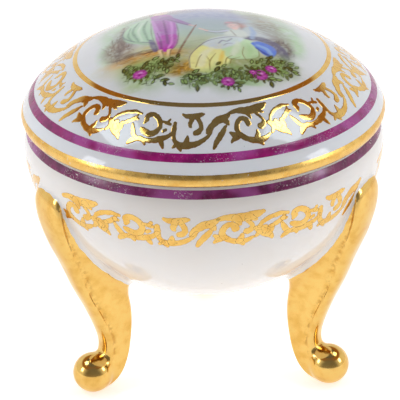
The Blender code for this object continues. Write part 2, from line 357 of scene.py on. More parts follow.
def motif_mesh(swell, cell=0.11):
    """Flat scroll repeat: points (x, y) in mm, faces, depth inside the edge, and nearness to a line."""
    axis_x = np.arange(-2.6, 35.4, cell)
    axis_y = np.arange(-0.6, MOTIF_HEIGHT + 0.8, cell)
    x, y = np.meshgrid(axis_x, axis_y, indexing="ij")
    rng = np.random.default_rng(5)
    ragged = 0.07 * smooth_noise(x.shape, 4, rng) + 0.05 * smooth_noise(x.shape, 9, rng)
    field, line = np.full(x.shape, 1e9), np.full(x.shape, 1e9)
    for points in MOTIF:
        gap = stroke_field(x, y, points) - swell + ragged
        field, line = np.minimum(field, gap), np.minimum(line, np.abs(gap))
    verts, faces, keys = [], [], {}

    def corner(i, j):
        if ("c", i, j) not in keys:
            keys["c", i, j] = len(verts)
            verts.append((x[i, j], y[i, j], -field[i, j], line[i, j]))
        return keys["c", i, j]

    def crossing(a, b):
        key = (min(a, b), max(a, b))
        if key not in keys:
            t = field[a] / (field[a] - field[b])
            keys[key] = len(verts)
            verts.append((x[a] + t * (x[b] - x[a]), y[a] + t * (y[b] - y[a]), 0.0, 0.0))
        return keys[key]

    inside = field < 0
    for i, j in np.argwhere(inside[:-1, :-1] | inside[1:, :-1] | inside[:-1, 1:] | inside[1:, 1:]):
        ring = [(i, j), (i + 1, j), (i + 1, j + 1), (i, j + 1)]
        face = []
        for a, b in zip(ring, ring[1:] + ring[:1]):
            if inside[a]:
                face.append(corner(*a))
            if inside[a] != inside[b]:
                face.append(crossing(a, b))
        if len(set(face)) > 2:
            faces.append(tuple(face))
    return np.array(verts), faces


def scroll_repeat(name, skin, low, high, step, swell, relief, material):
    """One repeat of the scroll laid on a turned surface, between two lengths of its outline."""
    verts, faces = motif_mesh(swell)
    angle = verts[:, 0] / MOTIF_LENGTH * step
    rise = relief * np.clip(verts[:, 2] / 0.14, 0, 1) ** 0.6
    rise = np.where(verts[:, 2] <= 0, 0.0, rise) + 0.000004
    r, z, nr, nz = skin.at(low + (high - low) * verts[:, 1] / MOTIF_HEIGHT)
    r, z = r + nr * rise, z + nz * rise
    points = np.c_[r * np.sin(angle), -r * np.cos(angle), z]
    a, b, c = (points[faces[0][k]] for k in (0, 1, 2))
    if np.dot(np.cross(b - a, c - a), (a[0], a[1], nz[faces[0][0]] * 0.03)) < 0:
        faces = [f[::-1] for f in faces]
    obj = new_object(name, points, faces, material)
    put_attribute(obj, "line", verts[:, 3])
    return obj


def turned_copies(material):
    """Geometry nodes that set copies of a piece round +Z, a step apart."""
    tree = bpy.data.node_groups.new("turned_copies", "GeometryNodeTree")
    tree.interface.new_socket("Geometry", in_out="INPUT", socket_type="NodeSocketGeometry")
    count = tree.interface.new_socket("Count", in_out="INPUT", socket_type="NodeSocketInt")
    count.min_value, count.default_value = 1, 6
    for name in ("Step", "Start"):
        tree.interface.new_socket(name, in_out="INPUT", socket_type="NodeSocketFloat").subtype = "ANGLE"
    tree.interface.new_socket("Geometry", in_out="OUTPUT", socket_type="NodeSocketGeometry")
    source, result = node(tree, "NodeGroupInput"), node(tree, "NodeGroupOutput")
    points = node(tree, "GeometryNodePoints", {"Count": source.outputs["Count"]})
    index = node(tree, "GeometryNodeInputIndex")
    turn = node(tree, "ShaderNodeMath", {
        0: index.outputs[0], 1: source.outputs["Step"], 2: source.outputs["Start"]}, operation="MULTIPLY_ADD")
    rotation = node(tree, "ShaderNodeCombineXYZ", {"Z": turn.outputs[0]})
    copies = node(tree, "GeometryNodeInstanceOnPoints", {
        "Points": points.outputs[0], "Instance": source.outputs["Geometry"], "Rotation": rotation.outputs[0]})
    real = node(tree, "GeometryNodeRealizeInstances", {"Geometry": copies.outputs[0]})
    painted = node(tree, "GeometryNodeSetMaterial", {"Geometry": real.outputs[0], "Material": material})
    tree.links.new(painted.outputs[0], result.inputs[0])
    return tree


def repeat_round(obj, material, **values):
    """Replace a piece by its copies round +Z, as one plain mesh."""
    modifier = obj.modifiers.new("round", "NODES")
    modifier.node_group = turned_copies(material)
    for item in modifier.node_group.interface.items_tree:
        if item.item_type == "SOCKET" and item.in_out == "INPUT" and item.name in values:
            modifier[item.identifier] = values[item.name]
    seen = obj.evaluated_get(bpy.context.evaluated_depsgraph_get())
    mesh = bpy.data.meshes.new_from_object(seen)
    obj.modifiers.clear()
    obj.data = mesh


# ---------------------------------------------------------------- legs

def beside_belly(share, proud):
    """(r, drop) of a point proud of the belly, at a share of the way down from its widest ring."""
    belly_r = BOWL_R * (1 - share ** BOWL_POWER) ** (1 / BOWL_POWER)
    return belly_r + proud, BOWL_SHOULDER + share * BOWL_DEPTH


def leg_stations():
    """Sections from knee to toe: outer and inner (r, drop below the seam), front and back half width."""
    # Outer point: share down the belly and stand-off; inner point the same; front and back width shares
    knee_rows = (
        (0.081, KNEE_PROUD - 0.00287, 0.108, -0.0021, 0.50, 0.40),
        (0.105, KNEE_PROUD - 0.00135, 0.183, -0.0032, 0.84, 0.66),
        (0.183, KNEE_PROUD, 0.305, -0.0037, 1.00, 0.82),
        (0.305, KNEE_PROUD + 0.00124, 0.474, -0.0034, 0.94, 0.84),
        (0.465, KNEE_PROUD + 0.00270, 0.690, -0.0012, 0.78, 0.80),
        (0.642, KNEE_PROUD + 0.00510, 0.865, 0.0039, 0.66, 0.70),
    )
    # Outer point: share of the way from hip to ankle and distance from the toe's radius; inner the same
    shank_rows = (
        (0.255, 0.0035, 0.174, -0.0093, 1.15, 1.04),
        (0.498, 0.0009, 0.370, -0.0099, 1.06, 0.86),
        (0.728, -0.0012, 0.576, -0.0099, 1.00, 0.78),
        (0.889, -0.0022, 0.783, -0.0094, 0.98, 0.78),
    )
    # Outer and inner point, each from the toe ball's middle
    toe_rows = (
        (-0.0020, -0.0043, -0.0085, -0.0026, 0.98, 0.84),
        (-0.0008, -0.0032, -0.0068, 0.0010, 1.03, 0.92),
        (0.0002, -0.0018, -0.0042, 0.0033, 1.00, 0.92),
        (0.0006, -0.0004, -0.0012, 0.0040, 0.80, 0.70),
    )
    wide, thin, ball = KNEE_HALF_WIDTH, SHANK_HALF_WIDTH, SEAM_Z - TOE_Z
    knee = [(*beside_belly(down, proud), *beside_belly(in_down, in_proud), front * wide, back * wide)
            for down, proud, in_down, in_proud, front, back in knee_rows]
    toe = [(TOE_R + out, ball + drop, TOE_R + in_out, ball + in_drop, front * thin, back * thin)
           for out, drop, in_out, in_drop, front, back in toe_rows]
    hip, ankle = knee[-1], toe[0]
    shank = [(TOE_R + out, hip[1] + down * (ankle[1] - hip[1]),
              TOE_R + in_out, hip[3] + in_down * (ankle[3] - hip[3]), front * thin, back * thin)
             for down, out, in_down, in_out, front, back in shank_rows]
    return knee + shank + toe


def groove_share(along):
    """How far back the groove beside the strap lies: nearest the front where the leg leaves the bowl."""
    return 0.31 - 0.11 * math.exp(-((along - 0.47) / 0.13) ** 2)


def section_outline(along):
    """Half a leg section from its front to its back: shares of depth, of front width and of back width."""
    front = np.linspace(0, math.pi / 2, 15)
    flank = np.linspace(0, 1, 25)[1:]
    back = np.linspace(0, math.pi / 2, 9)[1:]
    strap = groove_share(along) - 0.06
    depth = np.r_[strap * (1 - np.cos(front)), strap + (0.84 - strap) * flank, 0.84 + 0.16 * np.sin(back)]
    of_front = np.r_[np.sin(front) ** 0.8, 1 - flank, 0 * back]
    of_back = np.r_[0 * front, flank, np.cos(back)]
    return depth, of_front, of_back


def leg_section(station, along):
    """One closed section: a rounded strap in front, a groove beside it, flanks, and a rounded back."""
    outer_r, outer_drop, inner_r, inner_drop, front, back = station
    depth, of_front, of_back = section_outline(along)
    fade = min(1.0, max(0.0, along / 0.15)) * min(1.0, max(0.0, (0.84 - along) / 0.12))
    width = front * of_front + back * of_back
    width = width - 0.10 * front * fade * np.exp(-((depth - groove_share(along)) / 0.055) ** 2)
    w = np.r_[width, -width[-2:0:-1]]
    s = np.r_[depth, depth[-2:0:-1]]
    r = outer_r + (inner_r - outer_r) * s
    drop = outer_drop + (inner_drop - outer_drop) * s
    return np.c_[w, -r, SEAM_Z - drop]


def leg_tree():
    """Search tree of the leg's plain loft in the plane of -Y, and each face's place on the leg.

    A place is the depth behind the groove and the share of the way from knee to toe.
    """
    run = curved(leg_stations(), 9)
    rings = [leg_section(row, k / (len(run) - 1)) for k, row in enumerate(run)]
    count = len(rings[0])
    faces, places = [], []
    for k in range(len(rings) - 1):
        a, b = k * count, (k + 1) * count
        depth = section_outline(k / (len(run) - 1))[0]
        depth = np.r_[depth, depth[-2:0:-1]] - groove_share(k / (len(run) - 1))
        faces += [(a + i, a + (i + 1) % count, b + (i + 1) % count, b + i) for i in range(count)]
        places += [((depth[i] + depth[(i + 1) % count]) / 2, k / (len(run) - 1)) for i in range(count)]
    last = (len(rings) - 1) * count
    faces += [tuple(range(count - 1, -1, -1)), tuple(range(last, last + count))]
    places += [(0.5, 0.0), (0.5, 1.0)]
    verts = np.vstack(rings)
    return BVHTree.FromPolygons([tuple(v) for v in verts], outward(verts, faces)), places


def soft_union(a, b, reach):
    """Two solids' fields joined with a fillet."""
    h = np.clip(0.5 + 0.5 * (b - a) / reach, 0, 1)
    return b + (a - b) * h - reach * h * (1 - h)


def bowl_field(points):
    """Distance from the bowl's outside, below zero within it."""
    rz = np.c_[np.hypot(points[:, 0], points[:, 1]), points[:, 2]]
    outline, normal = BOWL_SKIN.points, BOWL_SKIN.normal
    field = np.empty(len(rz))
    for i in range(0, len(rz), 20000):
        part = rz[i:i + 20000]
        gap = ((part[:, None, :] - outline[None]) ** 2).sum(2)
        near = gap.argmin(1)
        field[i:i + 20000] = ((part - outline[near]) * normal[near]).sum(1)
    return field


def leg_solid(points):
    """Field of leg, toe ball and fillets to the bowl, below zero inside."""
    tree, _ = leg_tree()
    far = 0.008
    leg = np.full(len(points), far)
    for i, p in enumerate(points):
        spot, normal, _, gap = tree.find_nearest(Vector(p), far)
        if spot is not None:
            leg[i] = gap if (Vector(p) - spot).dot(normal) > 0 else -gap
    ball = np.linalg.norm(points - [0, -TOE_R, TOE_Z], axis=1) - TOE_BALL_R
    leg = soft_union(leg, ball, 0.0009)
    bowl = bowl_field(points)
    low = np.clip((SEAM_Z - points[:, 2] - 0.012) / 0.022, 0, 1)
    reach = 0.0008 + 0.0042 * low * low * (3 - 2 * low)
    joined = soft_union(leg, bowl, reach) + 0.00003
    field = np.maximum(joined, np.maximum(-0.0008 - bowl, leg - 0.0045))
    return np.maximum(field, -points[:, 2])


def surface_net(field, origin, cell):
    """Smooth quad mesh of a sampled field's zero surface."""
    inside = field < 0
    shape = np.array(field.shape) - 1
    total, count = np.zeros((*shape, 3)), np.zeros(shape)
    for axis in range(3):
        for du in (0, 1):
            for dv in (0, 1):
                low = [0, 0, 0]
                others = [k for k in range(3) if k != axis]
                low[others[0]], low[others[1]] = du, dv
                high = list(low)
                high[axis] += 1
                a = tuple(slice(o, o + n) for o, n in zip(low, shape))
                b = tuple(slice(o, o + n) for o, n in zip(high, shape))
                cut = inside[a] != inside[b]
                t = np.where(cut, field[a] / np.where(cut, field[a] - field[b], 1), 0)
                for k in range(3):
                    total[..., k] += cut * (low[k] + (t if k == axis else 0))
                count += cut
    used = count > 0
    number = np.full(shape, -1)
    number[used] = np.arange(used.sum())
    verts = np.argwhere(used) + total[used] / count[used][:, None]
    faces = []
    for axis in range(3):
        u, v = (axis + 1) % 3, (axis + 2) % 3
        a = [slice(None)] * 3
        b = [slice(None)] * 3
        a[axis], b[axis] = slice(0, -1), slice(1, None)
        cut = inside[tuple(a)] != inside[tuple(b)]
        for spot in np.argwhere(cut):
            if spot[u] == 0 or spot[v] == 0 or spot[u] >= shape[u] or spot[v] >= shape[v]:
                continue
            ring = []
            for du, dv in ((0, 0), (-1, 0), (-1, -1), (0, -1)):
                cell_at = spot.copy()
                cell_at[u] += du
                cell_at[v] += dv
                ring.append(int(number[tuple(cell_at)]))
            faces.append(tuple(ring) if inside[tuple(spot)] else tuple(ring[::-1]))
    return origin + verts * cell, faces


def read_field(field, origin, cell, points):
    """A sampled field's value and slope at points, between its samples."""
    p = (points - origin) / cell
    i = np.clip(p.astype(int), 0, np.array(field.shape) - 2)
    f = p - i
    value, slope = np.zeros(len(p)), np.zeros((len(p), 3))
    for corner in np.ndindex(2, 2, 2):
        sample = field[tuple((i + corner).T)]
        weight = [f[:, k] if corner[k] else 1 - f[:, k] for k in range(3)]
        value += sample * weight[0] * weight[1] * weight[2]
        for k in range(3):
            u, v = [m for m in range(3) if m != k]
            slope[:, k] += sample * weight[u] * weight[v] * (1 if corner[k] else -1) / cell
    return value, slope


def relaxed(verts, faces, field, origin, cell, rounds=5):
    """Even out a net's vertices and draw them back onto the surface."""
    quads = np.array(faces)
    pairs = np.vstack([quads[:, [k, (k + 1) % 4]] for k in range(4)])
    pairs = np.vstack([pairs, pairs[:, ::-1]])
    count = np.bincount(pairs[:, 0], minlength=len(verts))[:, None]
    for _ in range(rounds):
        mean = np.zeros_like(verts)
        for k in range(3):
            mean[:, k] = np.bincount(pairs[:, 0], weights=verts[pairs[:, 1], k], minlength=len(verts))
        verts = verts + 0.5 * (mean / count - verts)
        value, slope = read_field(field, origin, cell, verts)
        steep = np.maximum((slope ** 2).sum(1), 0.2)
        verts = verts - slope * (value / steep)[:, None] * 0.8
    return verts


def leg_net():
    """The leg's finished surface in the plane of -Y."""
    cell = LEG_CELL * 1
    # The grid holds one side of the leg's middle plane and is mirrored
    low = np.array([0.0, -0.0430, -3 * cell])
    high = np.array([0.0092, -0.0172, 0.0570])
    counts = ((high - low) / cell).astype(int) + 1
    axes = [low[k] + cell * (np.arange(counts[k]) + (0.5 if k == 0 else 0)) for k in range(3)]
    grid = np.stack(np.meshgrid(*axes, indexing="ij"), -1)
    half = leg_solid(grid.reshape(-1, 3)).reshape(counts)
    field = np.concatenate([half[::-1], half])
    origin = np.array([axes[0][0] - cell * counts[0], low[1], low[2]])
    verts, faces = surface_net(field, origin, cell)
    return relaxed(verts, faces, field, origin, cell), faces


# ---------------------------------------------------------------- the painted picture

def srgb(red, green, blue):
    """A colour named in screen values, as linear light."""
    return [((c / 255 + 0.055) / 1.055) ** 2.4 for c in (red, green, blue)]


LEAF_DARK, LEAF_OLIVE, LEAF_FRESH = (40, 40, 16), (92, 94, 42), (140, 166, 98)
PAINT_LIFT = 1.5           # paint is brighter than it looks in the room's light


class Picture:
    """Colour and cover painted on a square of porcelain, in mm from the crown."""

    def __init__(self, half, step):
        axis = np.linspace(-half, half, int(2 * half / step) + 1)
        self.axis = axis
        self.x, self.y = np.meshgrid(axis, axis, indexing="ij")
        self.colour = np.zeros((*self.x.shape, 3))
        self.cover = np.zeros(self.x.shape)
        self.rng = np.random.default_rng(11)
        fine, coarse = (smooth_noise(self.x.shape, cell, self.rng) for cell in (3, 7))
        self.grain = fine * 0.5 + coarse * 0.5
        self.drift = smooth_noise(self.x.shape, 16, self.rng)

    def window(self, x0, y0, x1, y1):
        """Slices that hold a box of the picture."""
        i0, i1 = np.searchsorted(self.axis, (x0, x1))
        j0, j1 = np.searchsorted(self.axis, (y0, y1))
        return slice(max(i0 - 1, 0), i1 + 1), slice(max(j0 - 1, 0), j1 + 1)

    def lay(self, where, colour, amount, mottle=0.35):
        """Lay paint over what is there."""
        a = np.clip(amount * (1 + mottle * self.grain[where]), 0, 1)
        tone = np.array(srgb(*colour)) * (1 + 0.25 * mottle * self.drift[where][..., None])
        tone = np.minimum(tone * PAINT_LIFT, 0.92)
        self.colour[where] = self.colour[where] * (1 - a[..., None]) + tone * a[..., None]
        self.cover[where] = self.cover[where] * (1 - a) + a

    def stroke(self, points, colour, strength=0.8, soft=0.25, mottle=0.35):
        """A brush stroke along (x, y, half width) points."""
        run = np.array(points, float)
        wide = run[:, 2].max() + soft + 1.5
        where = self.window(*(run[:, :2].min(0) - wide), *(run[:, :2].max(0) + wide))
        gap = stroke_field(self.x[where], self.y[where], points)
        self.lay(where, colour, strength * ease((soft - gap) / (2 * soft)), mottle)

    def wash(self, points, colour, strength=0.8, soft=0.5, mottle=0.35):
        """A filled shape with a soft edge, its corners rounded."""
        ring = np.array(points, float)
        ring = curved(np.vstack([ring[-2:], ring, ring[:2]]), 5)[10:-10]
        where = self.window(*(ring.min(0) - 2 * soft), *(ring.max(0) + 2 * soft))
        x, y = self.x[where], self.y[where]
        gap, odd = np.full(x.shape, 1e9), np.zeros(x.shape, bool)
        for (ax, ay), (bx, by) in zip(ring, np.roll(ring, -1, 0)):
            dx, dy = bx - ax, by - ay
            t = np.clip(((x - ax) * dx + (y - ay) * dy) / (dx * dx + dy * dy + 1e-12), 0, 1)
            gap = np.minimum(gap, np.hypot(x - ax - t * dx, y - ay - t * dy))
            across = (ay > y) != (by > y)
            odd ^= across & (x < ax + (y - ay) * dx / np.where(across, dy, 1))
        gap = np.where(odd, -gap, gap)
        self.lay(where, colour, strength * ease((soft - gap) / (2 * soft)), mottle)

    def blot(self, x, y, wide, high, colour, strength=0.6, soft=0.5, mottle=0.5):
        """A soft oval."""
        where = self.window(x - 2 * wide, y - 2 * high, x + 2 * wide, y + 2 * high)
        gap = np.hypot((self.x[where] - x) / wide, (self.y[where] - y) / high)
        gap = gap + 0.25 * mottle * self.grain[where]
        self.lay(where, colour, strength * ease((1 + soft - gap) / (2 * soft)), mottle)

    def leaf(self, x, y, angle, length, colour, strength=0.85, plump=0.21):
        """A pointed leaf from its stalk."""
        where = self.window(x - length, y - length, x + length, y + length)
        dx, dy = self.x[where] - x, self.y[where] - y
        u = (dx * math.cos(angle) + dy * math.sin(angle)) / length
        v = (dy * math.cos(angle) - dx * math.sin(angle)) / length
        half = plump * np.sin(math.pi * np.clip(u, 0, 1)) ** 0.8
        amount = ease((half - np.abs(v)) * length / 0.20 + 0.5) * ((u > 0) & (u < 1))
        self.lay(where, colour, strength * amount, 0.2)

    def outlined_leaf(self, x, y, angle, length, colour):
        """A leaf with a dark edge and a paler heart."""
        self.leaf(x, y, angle, length, LEAF_DARK, 0.9, 0.25)
        inset = 0.22 * length
        x, y = x + inset * math.cos(angle), y + inset * math.sin(angle)
        self.leaf(x, y, angle, 0.62 * length, colour, 0.85, 0.18)

    def hatch(self, x, y, wide, high, angle, count, length, colour, strength=0.5, width=0.10):
        """Many fine strokes inside an oval, all leaning one way."""
        for _ in range(count):
            turn, out = self.rng.uniform(0, 2 * math.pi), self.rng.uniform(0, 1) ** 0.5
            px, py = x + wide * out * math.cos(turn), y + high * out * math.sin(turn)
            lean = angle + self.rng.normal() * 0.22
            half = 0.5 * length * self.rng.uniform(0.6, 1.3)
            bend = 0.2 * half * self.rng.normal()
            dx, dy = half * math.cos(lean), half * math.sin(lean)
            points = ((px - dx, py - dy, 0.4 * width),
                      (px - bend * math.sin(lean), py + bend * math.cos(lean), width),
                      (px + dx, py + dy, 0.3 * width))
            self.stroke(points, colour, strength * self.rng.uniform(0.5, 1.0), 0.16, 0.3)

    def rose(self, x, y, size):
        """A rose: dark heart, paler petals, a rim."""
        self.blot(x, y, size, size * 0.9, (146, 28, 128), 0.95, 0.16, 0.3)
        for k in range(6):
            a = k * 1.05 + x
            px, py = x + 0.55 * size * math.cos(a), y + 0.50 * size * math.sin(a)
            self.blot(px, py, size * 0.28, size * 0.22, (196, 96, 180), 0.60, 0.4, 0.6)
            self.stroke(((px - 0.3, py, .05), (px, py + 0.2, .08), (px + 0.3, py, .05)),
                        (98, 10, 84), 0.6, 0.12)
        self.blot(x + 0.1 * size, y + 0.25 * size, size * 0.30, size * 0.22, (216, 150, 204), 0.70, 0.45)
        self.blot(x, y - 0.05 * size, size * 0.26, size * 0.20, (112, 12, 94), 0.8, 0.4)


def ease(t):
    """Smooth step from 0 to 1."""
    t = np.clip(t, 0, 1)
    return t * t * (3 - 2 * t)


def paint_land(p):
    """Sky, far trees, ground and bushes in a soft vignette."""
    up, level = math.pi / 2, 0.0
    p.blot(-0.5, 3.0, 19.5, 20.0, (164, 176, 180), 0.70, 0.20, 0.2)
    p.blot(-0.5, 10.0, 13.0, 10.0, (122, 130, 166), 0.85, 0.45, 0.2)
    p.blot(0.5, 0.0, 8.0, 6.0, (140, 160, 158), 0.65, 0.5, 0.2)
    p.blot(-8.0, 15.0, 6.0, 4.0, (136, 128, 132), 0.55, 0.5, 0.5)
    p.blot(12.0, 12.0, 6.0, 4.0, (134, 136, 142), 0.55, 0.5, 0.5)
    for x, y, wide, high in ((-18, 5, 3.8, 7), (-14, 12, 4.5, 5), (15, 8, 4.5, 8), (18.5, 0, 3.0, 6.5),
                             (11, 14, 4, 4), (-20, -5, 2.2, 5), (19.5, -5, 2.4, 5)):
        p.blot(x, y, wide, high, (146, 176, 134), 0.55, 0.5, 0.8)
    for x, y, wide, high in ((14, 4, 3.0, 4.5), (12.5, 9, 3.5, 3), (-16.5, 3, 2.2, 4), (16.5, -3, 2.6, 4)):
        p.blot(x, y, wide, high, (132, 122, 112), 0.50, 0.5, 0.9)
    p.blot(-3.5, -11.0, 17.0, 6.4, (176, 172, 124), 0.85, 0.28, 0.5)
    p.blot(-3.0, -6.0, 6.0, 5.0, (152, 172, 150), 0.60, 0.5, 0.4)
    p.blot(-12.0, -10.8, 7.8, 2.0, (190, 146, 84), 0.75, 0.4, 0.7)
    p.blot(-4.2, -16.8, 4.6, 2.6, (160, 120, 44), 0.85, 0.35, 0.8)
    p.blot(-17.5, -5.0, 3.4, 5.0, (122, 100, 82), 0.75, 0.4, 0.9)
    p.blot(16.4, -7.5, 2.8, 4.4, (96, 78, 66), 0.78, 0.4, 0.9)
    p.blot(8.0, -15.5, 10.0, 3.0, (126, 140, 84), 0.60, 0.45, 0.9)
    p.blot(9.0, -21.0, 2.4, 0.8, (142, 190, 112), 0.60, 0.5, 0.6)
    p.blot(-15.0, -20.0, 2.2, 1.2, (172, 190, 130), 0.40, 0.5, 0.6)
    p.stroke(((-16.5, 8, .3), (-16.8, 2, .6), (-17.2, -4, 1.0), (-17.8, -7.5, 1.0)),
             (108, 92, 80), 0.6, 0.4, 0.8)
    p.hatch(-17.6, -3.2, 2.6, 5.6, up + 0.15, 60, 4.0, (84, 62, 46), 0.60)
    p.hatch(-15.6, 3.0, 2.0, 5.0, up + 0.25, 22, 4.0, (104, 92, 84), 0.45)
    p.hatch(-13.8, -9.0, 5.0, 0.9, level + 0.04, 40, 3.6, (84, 56, 34), 0.65)
    p.hatch(-11.5, -11.0, 6.0, 1.6, level, 40, 2.6, (128, 84, 36), 0.60)
    p.hatch(-4.2, -16.8, 3.8, 2.0, level - 0.3, 60, 1.6, (92, 58, 18), 0.65)
    p.hatch(-4.2, -16.4, 3.6, 1.6, level + 0.8, 26, 1.2, (206, 170, 90), 0.55)
    p.hatch(15.2, 0.5, 3.4, 7.0, level - 0.25, 70, 3.6, (112, 92, 82), 0.42)
    p.hatch(10.5, 6.0, 3.6, 4.0, level + 0.1, 34, 3.0, (124, 104, 98), 0.36)
    p.hatch(16.4, -7.8, 2.4, 4.0, up - 0.5, 46, 2.6, (54, 40, 34), 0.60)
    p.hatch(-1.5, -10.0, 4.2, 3.6, level + 0.05, 26, 3.0, (120, 118, 84), 0.40)
    p.hatch(6.5, -15.6, 7.4, 1.6, level, 30, 2.4, (104, 100, 44), 0.50)


def paint_standing_figure(p):
    """A man in a green cloak and a long purple coat, leaning on a staff."""
    line = (74, 60, 70)
    p.wash(((-10.5, 11), (-14.2, 9), (-16.6, 3), (-15.8, -2.5), (-12.0, -5.0), (-9.6, -3)),
           (152, 184, 154), 0.92, 0.4)
    for points in (((-13.2, 9, .2), (-14.6, 3, .35), (-13.4, -3.5, .2)),
                   ((-11.4, 9, .2), (-12.2, 3, .35), (-11.4, -3.8, .2)),
                   ((-15.0, 6, .15), (-15.6, 1, .25), (-14.8, -2.4, .15))):
        p.stroke(points, (92, 124, 100), 0.70, 0.25)
    p.stroke(((-12.4, 8, .2), (-13.4, 2, .3), (-12.6, -3.4, .2)), (190, 214, 188), 0.60, 0.3)
    p.stroke(((-16.4, 6, .10), (-16.7, 1, .16), (-14.2, -3.2, .18), (-10.6, -5.4, .25)),
             (78, 84, 92), 0.75, 0.2)
    p.stroke(((-14.0, -3.4, .3), (-12.4, -5.2, .4), (-10.8, -6.0, .3)), (140, 170, 138), 0.8, 0.3)
    p.wash(((-10.8, 12), (-6.8, 12), (-5.4, 4), (-5.2, -3), (-5.8, -8), (-7.2, -10.0), (-8.9, -9.2),
            (-9.9, -2)), (150, 80, 158), 0.96, 0.3)
    p.wash(((-9.8, -3.4), (-5.4, -3.2), (-5.3, -7.6), (-7.2, -10.2), (-9.2, -9.0)), (158, 44, 150), 0.85, 0.4)
    p.stroke(((-10.4, 8, .3), (-9.5, 0, .5), (-8.9, -5, .3)), (186, 134, 196), 0.75, 0.35)
    p.stroke(((-6.6, 8, .2), (-6.2, 1, .3), (-6.4, -4, .2)), (186, 130, 194), 0.60, 0.3)
    p.stroke(((-8.0, 7, .2), (-7.5, -1, .3), (-7.2, -7, .3)), (104, 34, 112), 0.75, 0.25)
    p.stroke(((-9.4, -1, .1), (-8.8, -5, .25), (-8.6, -8.6, .2)), (96, 24, 96), 0.75, 0.25)
    p.stroke(((-6.3, -4.4, .15), (-6.5, -7.0, .3), (-7.2, -8.8, .2)), (206, 120, 200), 0.80, 0.25)
    p.stroke(((-5.2, 3, .10), (-4.9, -3, .12), (-5.5, -8, .10), (-7.0, -10.2, .10)), line, 0.65, 0.16)
    p.stroke(((-10.6, 6, .10), (-10.6, -1, .12), (-9.6, -8.8, .10)), line, 0.55, 0.16)
    p.wash(((-11.3, -4.0), (-10.2, -4.6), (-9.3, -8.6), (-10.1, -9.6), (-11.0, -7)), (84, 74, 112), 0.85, 0.3)
    for points in (((-8.9, -9.6, .5), (-8.6, -12.0, .35), (-8.9, -13.4, .3)),
                   ((-7.0, -9.8, .5), (-7.3, -12.0, .35), (-7.0, -13.2, .3))):
        p.stroke(points, (206, 184, 142), 0.9, 0.2)
        p.stroke([(x + 0.35, y, w * 0.3) for x, y, w in points], (96, 64, 44), 0.75, 0.14)
    p.stroke(((-9.9, -13.7, .2), (-8.7, -13.6, .3)), (64, 38, 26), 0.9, 0.15)
    p.stroke(((-7.9, -13.4, .2), (-6.6, -13.5, .25)), (64, 38, 26), 0.9, 0.15)
    p.stroke(((-7.6, 9, 1.1), (-4.8, 4.5, .9), (-2.6, 1.8, .55)), (128, 88, 146), 0.9, 0.3)
    p.stroke(((-7.0, 7.0, .12), (-4.4, 3.2, .14), (-2.2, 0.9, .12)), line, 0.6, 0.16)
    p.stroke(((-2.4, 1.5, .35), (-1.2, .5, .30)), (186, 156, 152), 0.85, 0.22)
    p.stroke(((-1.0, 1.4, .14), (-2.6, -4, .20), (-5.9, -13.6, .22)), (118, 84, 66), 0.85, 0.14)
    p.stroke(((-1.3, 1.0, .05), (-2.9, -4, .06), (-6.1, -13.4, .06)), (66, 44, 34), 0.6, 0.1)
    p.blot(-8.6, 15.2, 1.9, 2.3, (222, 190, 172), 0.9, 0.16, 0.2)
    p.wash(((-11.2, 17.6), (-10.8, 13.6), (-10.0, 14.6), (-9.8, 17.0), (-7.2, 17.6), (-6.8, 19.2),
            (-9.6, 19.6)), (110, 92, 82), 0.85, 0.3)
    p.stroke(((-11.6, 18.2, .3), (-8.8, 19.0, .7), (-5.8, 18.0, .3)), (84, 72, 96), 0.85, 0.25)
    for x in (-9.2, -7.9):
        p.blot(x, 15.6, 0.2, 0.14, (92, 70, 62), 0.8, 0.4, 0)
    p.stroke(((-8.9, 14.0, .08), (-8.1, 14.0, .08)), (190, 104, 96), 0.7, 0.12, 0)


